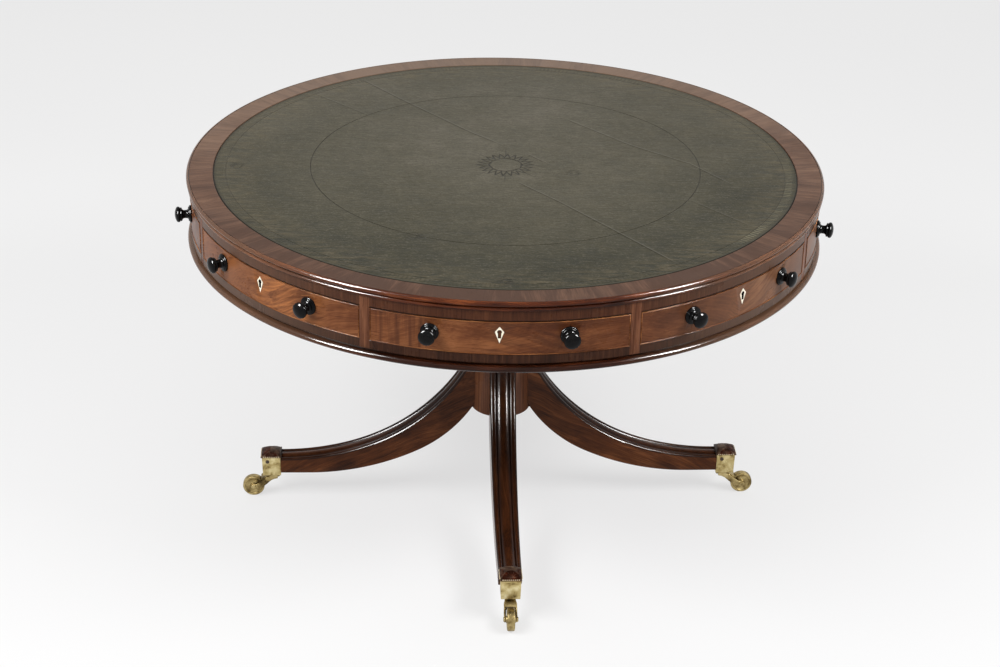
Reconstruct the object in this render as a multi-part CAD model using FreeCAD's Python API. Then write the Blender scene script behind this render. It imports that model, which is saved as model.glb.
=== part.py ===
import FreeCAD, Part
import math
import os

# A round drum table: a revolving drum with a leather top, four real drawers and four sham fronts, on a turned
# column with four sabre legs and castors. Millimetres, Z up, origin on the floor under the column's axis.
# An azimuth is counted from -Y towards +X. Drawers face -Y, +X, +Y and -X, and shams face the diagonals.

vec = FreeCAD.Vector
z_axis = vec(0, 0, 1)
y_axis = vec(0, 1, 0)
origin = vec(0, 0, 0)

# Overall sizes
top_diameter = 1220.0
overall_height = 730.0

# Round top and its double reeded edge
upper_reed_height = 9.5
upper_reed_depth = 4.4
reed_quirk_height = 1.6
reed_quirk_depth = 5.6
lower_reed_height = 7.0
lower_reed_depth = 3.2
lower_reed_setback = 1.8
crossbanding_width = 51.0
leather_sink = 0.3
crossbanding_thickness = 2.0
inlay_gap = 0.3

# Frieze of the drum
frieze_setback = 6.5
top_rail_height = 20.0
front_opening_height = 63.5
bottom_rail_height = 16.5
base_quirk_height = 4.6
base_quirk_depth = 5.5
base_moulding_height = 11.3
base_moulding_projection = 7.5
base_moulding_nose = 4.2
rail_depth = 31.5
stile_drawer_side_width = 12.1
stile_sham_side_width = 7.0
front_thickness = 20.0
front_side_gap = 0.6
front_top_gap = 1.3
front_bottom_gap = 0.5

# Drawer boxes and what they run on
drawer_half_width = 200.0
drawer_side_thickness = 10.0
drawer_side_drop = 3.0
drawer_back_thickness = 9.0
drawer_back_drop = 6.0
drawer_bottom_thickness = 6.0
drawer_bottom_lift = 5.0
drawer_groove_depth = 4.0
drawer_side_clearance = 1.0
drawer_back_clearance = 0.6
guide_thickness = 12.0
runner_width = 18.0
running_gap = 0.3
joint_gap = 0.1

# Knobs, the same on real and sham fronts
knob_angle = 11.4
knob_height_above_middle = 4.0
knob_projection = 33.0
knob_flange_radius = 14.0
knob_flange_thickness = 5.0
knob_neck_radius = 6.2
knob_head_radius = 15.5
knob_head_thickness = 15.0
knob_spigot_radius = 5.0
knob_spigot_length = 12.0

# Escutcheon and keyhole
escutcheon_width = 16.0
escutcheon_height = 31.0
escutcheon_wide_share = 0.32
escutcheon_thickness = 1.5
escutcheon_proud = 0.3
escutcheon_top_margin = 8.9
keyhole_radius = 3.2
keyhole_slot_width = 4.0
keyhole_slot_length = 11.0

# Drawer lock
lock_width = 62.0
lock_height = 36.0
lock_depth = 9.0
lock_proud = 2.5
lock_selvedge_depth = 13.0
lock_selvedge_thickness = 2.4
lock_bolt_width = 15.0
lock_bolt_depth = 5.0
lock_bolt_length = 20.0
lock_keyway_depth = 7.0

# Spindle, hub and bearing board
spindle_radius = 12.0
spindle_running_clearance = 0.08
spindle_sunk_length = 75.0
spindle_end_length = 4.0
hub_radius = 75.0
hub_to_nut_gap = 0.3
hub_headroom = 26.0
nut_flange_radius = 27.0
nut_flange_thickness = 3.0
nut_across_flats = 36.0
nut_height = 13.0
base_board_bore_clearance = 1.0
platform_radius = 190.0
platform_thickness = 26.0
platform_edge_round = 8.0
platform_tenon_radius = 30.0

# Column
column_radius = 59.0
column_block_above_legs = 9.0
column_foot_drop = 3.3
shaft_height_shares = (0.03, 0.10, 0.16, 0.40, 0.72, 0.78, 0.85, 0.97)
shaft_radius_shares = (1.07, 0.84, 0.90, 0.98, 0.66, 0.78, 0.66, 1.05)

# Sabre legs
leg_count = 4
leg_twist = 3.6
castor_circle_radius = 503.0
leg_toe_depth = 34.3
leg_width_at_column = 52.0
leg_width_at_toe = 44.0
crest_flat_length = 7.0
crest_outer_bend_share = 1.28
crest_outer_angle = 14.5
crest_height_at_column = 329.0
under_flat_length = 58.0
under_outer_bend_share = 1.27
under_outer_angle = 26.2
under_height_at_column = 212.3
middle_reed_width = 25.0
middle_reed_rise = 5.0
side_reed_rise = 3.2
side_reed_drop = 1.4
leg_section_depth = 130.0
leg_overrun = 25.0
dovetail_neck_width = 18.0
dovetail_tail_width = 24.0
dovetail_depth = 16.0
dovetail_top_margin = 30.0
dovetail_clearance = 0.2

# Carved block on the toe
toe_block_overhang = 3.0
toe_block_edge_height = 6.0
toe_block_rise = 6.0
toe_block_crown_share = 0.45

# Iron strap plate under the column
strap_disc_radius = 46.0
strap_width = 20.0
strap_thickness = 3.0
strap_reach = 56.0
strap_gap = 0.2
strap_joint_lap = 3.0

# Brass box caps and their screws
cap_length = 38.0
cap_width = 39.0
cap_height = 42.0
cap_wall = 1.6
cap_floor = 8.5
cap_fit = 0.1
cap_screw_head_radius = 3.8
cap_screw_head_height = 1.2
cap_screw_radius = 2.0
cap_screw_length = 12.0
cap_screw_drop = 9.0
cap_screw_outer_inset = 11.0
cap_screw_slot = 0.9

# Castors
wheel_radius = 22.0
wheel_width = 14.5
wheel_tread_round = 2.6
wheel_rim = 5.0
wheel_dish = 2.0
wheel_hub_radius = 7.0
wheel_hub_width = 18.6
wheel_to_cap_gap = 9.0
castor_trail = 42.0
pintle_from_cap_end = 15.0
pintle_radius = 4.0
pintle_clearance = 0.08
pintle_head_radius = 6.5
pintle_head_height = 2.6
pintle_head_clearance = 0.2
horn_shoulder_radius = 8.5
horn_shoulder_height = 4.0
horn_neck_radius = 6.0
horn_gap_to_cap = 0.3
horn_arm_thickness = 3.0
horn_arm_gap = 0.3
horn_heel_height = 31.0
horn_heel_depth = 10.0
horn_heel_back = 7.0
horn_bridge_front = 9.0
horn_eye_radius = 5.6
axle_radius = 3.0
axle_clearance = 0.06
axle_head_radius = 4.4
axle_head_height = 1.2

# Shared overrun of cutting shapes past the faces that they cut
cut_overrun = 5.0

# Places worked out from the sizes above
bay_count = 8
top_radius = top_diameter / 2
leather_radius = top_radius - crossbanding_width
frieze_radius = top_radius - frieze_setback
top_thickness = upper_reed_height + reed_quirk_height + lower_reed_height
top_under = overall_height - top_thickness
opening_top = top_under - top_rail_height
opening_bottom = opening_top - front_opening_height
rail_bottom = opening_bottom - bottom_rail_height
base_quirk_bottom = rail_bottom - base_quirk_height
drum_bottom = base_quirk_bottom - base_moulding_height
base_board_radius = frieze_radius - base_quirk_depth
rail_inner_radius = frieze_radius - rail_depth
front_inner_radius = frieze_radius - front_thickness
bay_pitch = 360.0 / bay_count
stile_drawer_side_angle = math.degrees(stile_drawer_side_width / frieze_radius)
stile_sham_side_angle = math.degrees(stile_sham_side_width / frieze_radius)
drawer_bay_half_angle = bay_pitch / 2 - stile_drawer_side_angle
sham_bay_half_angle = bay_pitch / 2 - stile_sham_side_angle
front_gap_angle = math.degrees(front_side_gap / front_inner_radius)
real_azimuths = [k * 2 * bay_pitch for k in range(bay_count // 2)]
sham_azimuths = [azimuth + bay_pitch for azimuth in real_azimuths]
front_low = opening_bottom + front_bottom_gap
front_high = opening_top - front_top_gap
knob_level = (front_low + front_high) / 2 + knob_height_above_middle
escutcheon_top = front_high - escutcheon_top_margin
keyhole_level = escutcheon_top - escutcheon_height * escutcheon_wide_share

guide_face = drawer_half_width + drawer_side_clearance
guide_back = guide_face + guide_thickness
drawer_inner_end = guide_back + drawer_back_clearance
drawer_side_low = opening_bottom + running_gap
drawer_side_high = opening_top - drawer_side_drop
drawer_bottom_low = drawer_side_low + drawer_bottom_lift
drawer_bottom_high = drawer_bottom_low + drawer_bottom_thickness

platform_top = drum_bottom - running_gap
platform_low = platform_top - platform_thickness
hub_top = top_under - hub_headroom
nut_low = hub_top + hub_to_nut_gap
spindle_top = nut_low + nut_flange_thickness + nut_height + spindle_end_length
hub_bore_radius = spindle_radius + spindle_running_clearance

pintle_circle_radius = castor_circle_radius - castor_trail
cap_inner = pintle_circle_radius - pintle_from_cap_end
cap_outer = cap_inner + cap_length
cap_low = 2 * wheel_radius + wheel_to_cap_gap
cap_high = cap_low + cap_height
cap_floor_top = cap_low + cap_floor
leg_reach = cap_inner - column_radius
crest_outer_bend = leg_reach * crest_outer_bend_share
under_outer_bend = leg_reach * under_outer_bend_share
toe_under = cap_floor_top + cap_fit
toe_crest = toe_under + leg_toe_depth
leg_azimuths = [sham_azimuths[0] + leg_twist + k * 360.0 / leg_count for k in range(leg_count)]
column_bottom = under_height_at_column - column_foot_drop
column_block_top = crest_height_at_column + column_block_above_legs
dovetail_top = crest_height_at_column - dovetail_top_margin


# Small helpers for solids and for turning them to their place
def cylinder(radius, low, high):
    return Part.makeCylinder(radius, high - low, vec(0, 0, low))


def ring(inner_radius, outer_radius, low, high):
    outer = cylinder(outer_radius, low, high)
    return outer.cut(cylinder(inner_radius, low - cut_overrun, high + cut_overrun))


def block(x_low, x_high, y_low, y_high, z_low, z_high):
    return Part.makeBox(x_high - x_low, y_high - y_low, z_high - z_low, vec(x_low, y_low, z_low))


def prism(points, direction):
    wire = Part.makePolygon(points + [points[0]])
    return Part.Face(wire).extrude(direction)


def turned(edges):
    return Part.Face(Part.Wire(edges)).revolve(origin, z_axis, 360)


def line(start, end):
    return Part.LineSegment(start, end).toShape()


def arc(start, middle, end):
    return Part.Arc(start, middle, end).toShape()


def at_azimuth(shape, azimuth):
    copy = shape.copy()
    copy.rotate(origin, z_axis, azimuth)
    return copy


def at_leg(shape, azimuth):
    # A leg's own frame points outwards along +X, which is azimuth 90.
    return at_azimuth(shape, azimuth - 90.0)


def polar(radius, azimuth, height):
    angle = math.radians(azimuth)
    return vec(radius * math.sin(angle), -radius * math.cos(angle), height)


def sector(inner_radius, outer_radius, half_angle, low, high):
    # Part of a ring that faces -Y, with radial ends
    outer = [polar(outer_radius, share * half_angle, low) for share in (-1, 0, 1)]
    inner = [polar(inner_radius, share * half_angle, low) for share in (1, 0, -1)]
    outline = [arc(*outer), line(outer[2], inner[0]), arc(*inner), line(inner[2], outer[0])]
    return Part.Face(Part.Wire(outline)).extrude(vec(0, 0, high - low))


def write(shapes, name):
    os.makedirs("parts", exist_ok=True)
    shape = shapes[0] if len(shapes) == 1 else Part.makeCompound(shapes)
    shape.exportStep("parts/" + name + ".step")


# Round top: reeded board, crossbanded border and leather
def half_round(inner_radius, depth, low, high):
    # Edge of a reed, from its lower to its upper corner
    nose = vec(inner_radius + depth, 0, (low + high) / 2)
    return arc(vec(inner_radius, 0, low), nose, vec(inner_radius, 0, high))


def top_board():
    upper_inner = top_radius - upper_reed_depth
    lower_inner = top_radius - lower_reed_setback - lower_reed_depth
    quirk_radius = top_radius - reed_quirk_depth
    lower_reed_top = top_under + lower_reed_height
    upper_reed_low = lower_reed_top + reed_quirk_height
    inlay_radius = upper_inner - inlay_gap
    inlay_floor = overall_height - crossbanding_thickness
    outline = [
        line(vec(0, 0, top_under), vec(lower_inner, 0, top_under)),
        half_round(lower_inner, lower_reed_depth, top_under, lower_reed_top),
        line(vec(lower_inner, 0, lower_reed_top), vec(quirk_radius, 0, lower_reed_top)),
        line(vec(quirk_radius, 0, lower_reed_top), vec(quirk_radius, 0, upper_reed_low)),
        line(vec(quirk_radius, 0, upper_reed_low), vec(upper_inner, 0, upper_reed_low)),
        half_round(upper_inner, upper_reed_depth, upper_reed_low, overall_height),
        line(vec(upper_inner, 0, overall_height), vec(inlay_radius, 0, overall_height)),
        line(vec(inlay_radius, 0, overall_height), vec(inlay_radius, 0, inlay_floor)),
        line(vec(inlay_radius, 0, inlay_floor), vec(0, 0, inlay_floor)),
        line(vec(0, 0, inlay_floor), vec(0, 0, top_under)),
    ]
    return turned(outline)


def top_crossbanding():
    outer_radius = top_radius - upper_reed_depth - 2 * inlay_gap
    low = overall_height - crossbanding_thickness
    return ring(leather_radius + inlay_gap, outer_radius, low, overall_height)


def leather_inset():
    low = overall_height - crossbanding_thickness
    return cylinder(leather_radius, low, overall_height - leather_sink)


# Drum: boards, stiles, rails and moulding
def drum_base_board():
    board = cylinder(base_board_radius, drum_bottom, rail_bottom)
    bore_radius = hub_bore_radius + base_board_bore_clearance
    return board.cut(cylinder(bore_radius, drum_bottom - cut_overrun, rail_bottom + cut_overrun))


def base_moulding():
    inner_radius = base_board_radius + joint_gap
    outer_radius = frieze_radius + base_moulding_projection
    nose_radius = outer_radius - base_moulding_nose
    outline = [
        line(vec(inner_radius, 0, drum_bottom), vec(nose_radius, 0, drum_bottom)),
        half_round(nose_radius, base_moulding_nose, drum_bottom, base_quirk_bottom),
        line(vec(nose_radius, 0, base_quirk_bottom), vec(inner_radius, 0, base_quirk_bottom)),
        line(vec(inner_radius, 0, base_quirk_bottom), vec(inner_radius, 0, drum_bottom)),
    ]
    return turned(outline)


def frieze_stiles():
    # A stile stands between every two bays, wider on the real drawer's side than on the sham's.
    half_angle = (stile_drawer_side_angle + stile_sham_side_angle) / 2
    stile = sector(rail_inner_radius, frieze_radius, half_angle, rail_bottom, top_under)
    middle = sham_bay_half_angle + half_angle
    return [at_azimuth(stile, azimuth + side * middle) for azimuth in sham_azimuths for side in (-1, 1)]


def frieze_rails(low, high):
    drawer_rail = sector(rail_inner_radius, frieze_radius, drawer_bay_half_angle, low, high)
    sham_rail = sector(rail_inner_radius, frieze_radius, sham_bay_half_angle, low, high)
    drawer_rails = [at_azimuth(drawer_rail, azimuth) for azimuth in real_azimuths]
    return drawer_rails + [at_azimuth(sham_rail, azimuth) for azimuth in sham_azimuths]


def drawer_guides():
    # Each bay has a board on both sides and one across its inner end, and the boards meet at four corners.
    outer_end = math.sqrt((rail_inner_radius - joint_gap) ** 2 - guide_back ** 2)
    right = block(guide_face, guide_back, -outer_end, -guide_face, rail_bottom, top_under)
    left = block(-guide_back, -guide_face, -outer_end, -guide_back, rail_bottom, top_under)
    inner = block(-guide_face, guide_face, -guide_back, -guide_face, rail_bottom, top_under)
    return [at_azimuth(board, azimuth) for azimuth in real_azimuths for board in (right, left, inner)]


def drawer_runners():
    # Runners under the drawer sides and kickers above them, glued to the guides
    outer_end = math.sqrt(rail_inner_radius ** 2 - guide_face ** 2) - drawer_side_clearance
    strips = []
    for azimuth in real_azimuths:
        for low, high in ((rail_bottom, opening_bottom), (opening_top, top_under)):
            right = block(guide_face - runner_width, guide_face, -outer_end, -guide_back, low, high)
            left = block(-guide_face, runner_width - guide_face, -outer_end, -guide_back, low, high)
            strips += [at_azimuth(right, azimuth), at_azimuth(left, azimuth)]
    return strips


def hub_block():
    return ring(hub_bore_radius, hub_radius, rail_bottom, hub_top)


# Fronts with their keyholes, knobs and escutcheons
def kite(grow, depth, outer_place):
    # Diamond outline facing -Y whose widest point lies above its middle
    half_width = escutcheon_width / 2 + grow
    points = [
        vec(0, -outer_place, escutcheon_top + grow),
        vec(half_width, -outer_place, keyhole_level),
        vec(0, -outer_place, escutcheon_top - escutcheon_height - grow),
        vec(-half_width, -outer_place, keyhole_level),
    ]
    return prism(points, vec(0, depth, 0))


def keyhole(inner_place, outer_place):
    # Round hole with a slot below it, cut along Y
    depth = outer_place - inner_place
    eye = Part.makeCylinder(keyhole_radius, depth, vec(0, -outer_place, keyhole_level), y_axis)
    half_slot = keyhole_slot_width / 2
    slot_low = keyhole_level - keyhole_slot_length
    slot = block(-half_slot, half_slot, -outer_place, -inner_place, slot_low, keyhole_level)
    return eye.fuse(slot)


def escutcheon():
    outer_place = frieze_radius + escutcheon_proud
    plate = kite(0, escutcheon_thickness, outer_place)
    return plate.cut(keyhole(outer_place - escutcheon_thickness - cut_overrun, outer_place + cut_overrun))


def knob_holes():
    hole_radius = knob_spigot_radius + joint_gap
    inner_place = frieze_radius - knob_spigot_length - joint_gap
    depth = knob_spigot_length + cut_overrun
    holes = []
    for azimuth in (-knob_angle, knob_angle):
        hole = Part.makeCylinder(hole_radius, depth, vec(0, -inner_place, knob_level), vec(0, -1, 0))
        holes.append(at_azimuth(hole, azimuth))
    return holes


def plain_front(bay_half_angle):
    half_angle = bay_half_angle - front_gap_angle
    panel = sector(front_inner_radius, frieze_radius, half_angle, front_low, front_high)
    recess_floor = frieze_radius + escutcheon_proud - escutcheon_thickness - joint_gap
    recess_depth = escutcheon_thickness + cut_overrun
    recess = kite(joint_gap, recess_depth, recess_floor + recess_depth)
    return panel.cut(knob_holes() + [recess])


def knob():
    # Turned along Z from the frieze outwards: spigot, flange, hollow neck and domed head
    flange_top = knob_flange_thickness
    head_low = knob_projection - knob_head_thickness
    neck_middle = (flange_top + head_low) / 2
    rim_level = head_low + knob_head_thickness / 3
    rim_radius = knob_head_radius
    flange_rim = knob_flange_thickness / 2
    flange_step = knob_flange_radius - knob_flange_thickness / 2
    collar_radius = (knob_neck_radius + knob_head_radius) / 2
    flange_low_edge = vec(flange_step, 0, joint_gap)
    flange_top_edge = vec(flange_step, 0, flange_top)
    collar = vec(collar_radius, 0, head_low)
    dome_height = knob_projection - rim_level
    dome_radius = (dome_height ** 2 + rim_radius ** 2) / (2 * dome_height)
    half_angle = math.atan2(rim_radius, dome_radius - dome_height) / 2
    dome_drop = dome_radius * (1 - math.cos(half_angle))
    dome_middle = vec(dome_radius * math.sin(half_angle), 0, knob_projection - dome_drop)
    outline = [
        line(vec(0, 0, -knob_spigot_length), vec(knob_spigot_radius, 0, -knob_spigot_length)),
        line(vec(knob_spigot_radius, 0, -knob_spigot_length), vec(knob_spigot_radius, 0, joint_gap)),
        line(vec(knob_spigot_radius, 0, joint_gap), flange_low_edge),
        arc(flange_low_edge, vec(knob_flange_radius, 0, flange_rim), flange_top_edge),
        arc(flange_top_edge, vec(knob_neck_radius, 0, neck_middle), collar),
        arc(collar,
            vec((collar_radius + 2 * rim_radius) / 3, 0, (2 * head_low + rim_level) / 3),
            vec(rim_radius, 0, rim_level)),
        arc(vec(rim_radius, 0, rim_level), dome_middle, vec(0, 0, knob_projection)),
        line(vec(0, 0, knob_projection), vec(0, 0, -knob_spigot_length)),
    ]
    return turned(outline)


def knob_pair():
    # The knob's axis is laid along -Y at the frieze, then turned to its place on each side of the middle.
    shape = knob()
    shape.rotate(origin, vec(1, 0, 0), 90)
    shape.translate(vec(0, -frieze_radius, knob_level))
    return [at_azimuth(shape, -knob_angle), at_azimuth(shape, knob_angle)]


# Drawer: front with its lock, and the box behind it
def lock_case(grow):
    half_width = lock_width / 2 + grow
    inner_place = front_inner_radius - lock_proud - grow
    case_outer = front_inner_radius - lock_proud + lock_depth + grow
    selvedge_outer = front_inner_radius - lock_proud + lock_selvedge_depth + grow
    low = front_high - lock_height - grow
    selvedge_low = front_high - lock_selvedge_thickness - grow
    case = block(-half_width, half_width, -case_outer, -inner_place, low, front_high + grow)
    selvedge = block(-half_width, half_width, -selvedge_outer, -inner_place, selvedge_low, front_high + grow)
    return case.fuse(selvedge)


def lock_bolt(grow):
    half_width = lock_bolt_width / 2 + grow
    middle = front_inner_radius - lock_proud + lock_depth / 2
    half_depth = lock_bolt_depth / 2 + grow
    low = front_high - lock_bolt_length - grow
    return block(-half_width, half_width, -middle - half_depth, half_depth - middle, low, front_high + grow)


def drawer_lock():
    case_outer = front_inner_radius - lock_proud + lock_depth
    keyway = keyhole(case_outer - lock_keyway_depth, case_outer + lock_selvedge_depth)
    case = lock_case(0).cut([lock_bolt(joint_gap), keyway])
    bolt = lock_bolt(0).cut(keyway)
    return [case, bolt]


def drawer_front():
    front = plain_front(drawer_bay_half_angle).cut(lock_case(joint_gap))
    return front.cut(keyhole(front_inner_radius - cut_overrun, frieze_radius + cut_overrun))


def drawer_box():
    inner_face = drawer_half_width - drawer_side_thickness
    groove_face = inner_face + drawer_groove_depth
    reach = cylinder(front_inner_radius - joint_gap, drum_bottom, overall_height)
    long_side = front_inner_radius
    groove = block(-groove_face, groove_face, -long_side, cut_overrun, drawer_bottom_low, drawer_bottom_high)
    right = block(inner_face, drawer_half_width, -long_side, -drawer_inner_end,
                  drawer_side_low, drawer_side_high)
    right = right.common(reach).cut(groove)
    left = right.mirror(origin, vec(1, 0, 0))
    back_face = drawer_inner_end + drawer_back_thickness
    back_high = drawer_side_high - drawer_back_drop
    back = block(-inner_face, inner_face, -back_face, -drawer_inner_end, drawer_bottom_high, back_high)
    panel_edge = groove_face - joint_gap
    panel = block(-panel_edge, panel_edge, -long_side, -drawer_inner_end,
                  drawer_bottom_low + joint_gap, drawer_bottom_high - joint_gap)
    return [right, left, back, panel.common(reach)]


# Spindle, its nut and the bearing board
def column_platform():
    board = cylinder(platform_radius, platform_low, platform_top)
    lower_edge = [edge for edge in board.Edges if abs(edge.CenterOfMass.z - platform_low) < joint_gap]
    board = board.makeFillet(platform_edge_round, lower_edge)
    bore_radius = platform_tenon_radius + joint_gap
    return board.cut(cylinder(bore_radius, platform_low - cut_overrun, platform_top + cut_overrun))


def spindle():
    return cylinder(spindle_radius, platform_low - spindle_sunk_length, spindle_top)


def spindle_nut():
    flange_top = nut_low + nut_flange_thickness
    flange = cylinder(nut_flange_radius, nut_low, flange_top)
    corner_radius = nut_across_flats / 2 / math.cos(math.radians(30.0))
    corners = [polar(corner_radius, k * 60.0, flange_top) for k in range(6)]
    nut = flange.fuse(prism(corners, vec(0, 0, nut_height)))
    return nut.cut(cylinder(spindle_radius + joint_gap, nut_low - cut_overrun, spindle_top))


# Sabre leg curves in the leg's own upright plane, where x is the distance from the column's axis
def tangent_bend(start, direction, end):
    # Centre, radius and angle of the arc that leaves start along direction and reaches end, bending upwards
    normal = vec(direction.z, 0, -direction.x)
    chord = end - start
    across = chord.dot(normal)
    radius = chord.dot(chord) / (2 * across)
    angle = 2 * math.atan2(across, chord.dot(direction))
    return start + normal * radius, radius, angle


def bend_point(centre, radius, angle):
    # Point of an upward bend whose path has turned by angle from level, going inwards
    return vec(centre.x - radius * math.sin(angle), 0, centre.z - radius * math.cos(angle))


def leg_curve(level, flat_length, outer_bend, outer_angle, height_at_column):
    # A level stretch from the toe, an outer bend and an inner bend that reaches the column
    start = vec(cap_inner - flat_length, 0, level)
    outer_centre = vec(start.x, 0, level + outer_bend)
    first_angle = math.radians(outer_angle)
    joint = bend_point(outer_centre, outer_bend, first_angle)
    direction = vec(-math.cos(first_angle), 0, math.sin(first_angle))
    end = vec(column_radius, 0, height_at_column)
    inner_centre, inner_bend, inner_angle = tangent_bend(joint, direction, end)
    return start, outer_centre, first_angle, joint, inner_centre, inner_bend, inner_angle, end


def crest_curve():
    return leg_curve(toe_crest, crest_flat_length, crest_outer_bend, crest_outer_angle,
                     crest_height_at_column)


def under_curve():
    return leg_curve(toe_under, under_flat_length, under_outer_bend, under_outer_angle,
                     under_height_at_column)


def reed_section(place):
    # Upright section of the leg's reeded top, square to the crest's level start
    half_width = leg_width_at_column / 2
    half_middle = middle_reed_width / 2
    side_middle = (half_width + half_middle) / 2
    quirk = place.z - middle_reed_rise
    side_crest = place.z - side_reed_drop
    side_low = side_crest - side_reed_rise
    low = place.z - leg_section_depth
    outline = [
        line(vec(place.x, -half_width, low), vec(place.x, half_width, low)),
        line(vec(place.x, half_width, low), vec(place.x, half_width, side_low)),
        arc(vec(place.x, half_width, side_low), vec(place.x, side_middle, side_crest),
            vec(place.x, half_middle, quirk)),
        arc(vec(place.x, half_middle, quirk), vec(place.x, 0, place.z), vec(place.x, -half_middle, quirk)),
        arc(vec(place.x, -half_middle, quirk), vec(place.x, -side_middle, side_crest),
            vec(place.x, -half_width, side_low)),
        line(vec(place.x, -half_width, side_low), vec(place.x, -half_width, low)),
    ]
    return Part.Face(Part.Wire(outline))


def reeded_bar():
    # The reeded section, carried along the crest's level stretch and round its two bends
    start, outer_centre, outer_angle, joint, inner_centre, inner_bend, inner_angle, end = crest_curve()
    section = reed_section(start)
    toe = section.extrude(vec(cap_inner - start.x, 0, 0))
    outer = section.revolve(outer_centre, y_axis, math.degrees(outer_angle))
    turned_section = section.copy()
    turned_section.rotate(outer_centre, y_axis, math.degrees(outer_angle))
    sweep = inner_angle + leg_overrun / inner_bend
    inner = turned_section.revolve(inner_centre, y_axis, math.degrees(sweep))
    return toe.fuse([outer, inner]).removeSplitter()


def leg_blank():
    # Side outline with the underside's curve, cut to the leg's tapering plan
    start, outer_centre, outer_angle, joint, inner_centre, inner_bend, inner_angle, end = under_curve()
    toe = vec(cap_inner, 0, toe_under)
    outer_middle = bend_point(outer_centre, under_outer_bend, outer_angle / 2)
    inner_middle = bend_point(inner_centre, inner_bend, outer_angle + inner_angle / 2)
    high = crest_height_at_column + leg_overrun
    inner_top = vec(column_radius - leg_overrun, 0, high)
    inner_low = vec(column_radius - leg_overrun, 0, end.z)
    outer_top = vec(cap_inner, 0, high)
    outline = [
        line(toe, start),
        arc(start, outer_middle, joint),
        arc(joint, inner_middle, end),
        line(end, inner_low),
        line(inner_low, inner_top),
        line(inner_top, outer_top),
        line(outer_top, toe),
    ]
    side = Part.Face(Part.Wire(outline)).extrude(vec(0, leg_width_at_column, 0))
    side.translate(vec(0, -leg_width_at_column / 2, 0))
    inner_half = leg_width_at_column / 2
    outer_half = leg_width_at_toe / 2
    plan = [
        vec(0, -inner_half, 0),
        vec(column_radius, -inner_half, 0),
        vec(cap_inner, -outer_half, 0),
        vec(cap_inner, outer_half, 0),
        vec(column_radius, inner_half, 0),
        vec(0, inner_half, 0),
    ]
    return side.common(prism(plan, vec(0, 0, high + leg_overrun)))


def dovetail(grow, low, high):
    # Sliding dovetail in plan, wider at its inner end
    half_neck = dovetail_neck_width / 2 + grow
    half_tail = dovetail_tail_width / 2 + grow
    inner_end = column_radius - dovetail_depth - grow
    outer_end = column_radius + dovetail_clearance + grow
    points = [
        vec(inner_end, -half_tail, low),
        vec(column_radius, -half_neck, low),
        vec(outer_end, -half_neck, low),
        vec(outer_end, half_neck, low),
        vec(column_radius, half_neck, low),
        vec(inner_end, half_tail, low),
    ]
    return prism(points, vec(0, 0, high - low))


def toe_block():
    # Slab over the brass cap with a low crown, whose faces taper to a smaller top
    half_width = cap_width / 2 + toe_block_overhang
    middle = (cap_inner + cap_outer) / 2
    half_length = cap_length / 2 + toe_block_overhang
    low = cap_high + joint_gap
    edge_top = low + toe_block_edge_height
    slab = block(middle - half_length, middle + half_length, -half_width, half_width, low, edge_top)
    wires = []
    for share, level in ((1, edge_top), (toe_block_crown_share, edge_top + toe_block_rise)):
        length = half_length * share
        width = half_width * share
        corners = [
            vec(middle - length, -width, level),
            vec(middle + length, -width, level),
            vec(middle + length, width, level),
            vec(middle - length, width, level),
        ]
        wires.append(Part.makePolygon(corners + [corners[0]]))
    return slab.fuse(Part.makeLoft(wires, True, True))


def toe_core():
    half_width = cap_width / 2 - cap_wall - cap_fit
    outer_end = cap_outer - cap_wall - cap_fit
    return block(cap_inner, outer_end, -half_width, half_width, toe_under, cap_high + joint_gap)


def cap_screw_places():
    # The two screws of a cap are staggered, so that they pass each other inside the toe.
    level = cap_high - cap_screw_drop
    outer_place = cap_outer - cap_screw_outer_inset
    inner_place = cap_inner + cap_screw_outer_inset
    return [(vec(outer_place, cap_width / 2, level), -1), (vec(inner_place, -cap_width / 2, level), 1)]


def cap_screw_bodies(radius, length):
    bodies = []
    for place, way in cap_screw_places():
        start = vec(place.x, place.y - way * cut_overrun, place.z)
        bodies.append(Part.makeCylinder(radius, length + cut_overrun, start, vec(0, way, 0)))
    return bodies


def leg():
    shape = reeded_bar().common(leg_blank())
    shape = shape.cut(cylinder(column_radius + joint_gap, 0, overall_height))
    tail = dovetail(0, under_height_at_column, dovetail_top)
    shape = shape.fuse([tail, toe_core(), toe_block()])
    screw_holes = cap_screw_bodies(cap_screw_radius + joint_gap, cap_screw_length + joint_gap)
    return shape.cut(screw_holes).removeSplitter()


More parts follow.
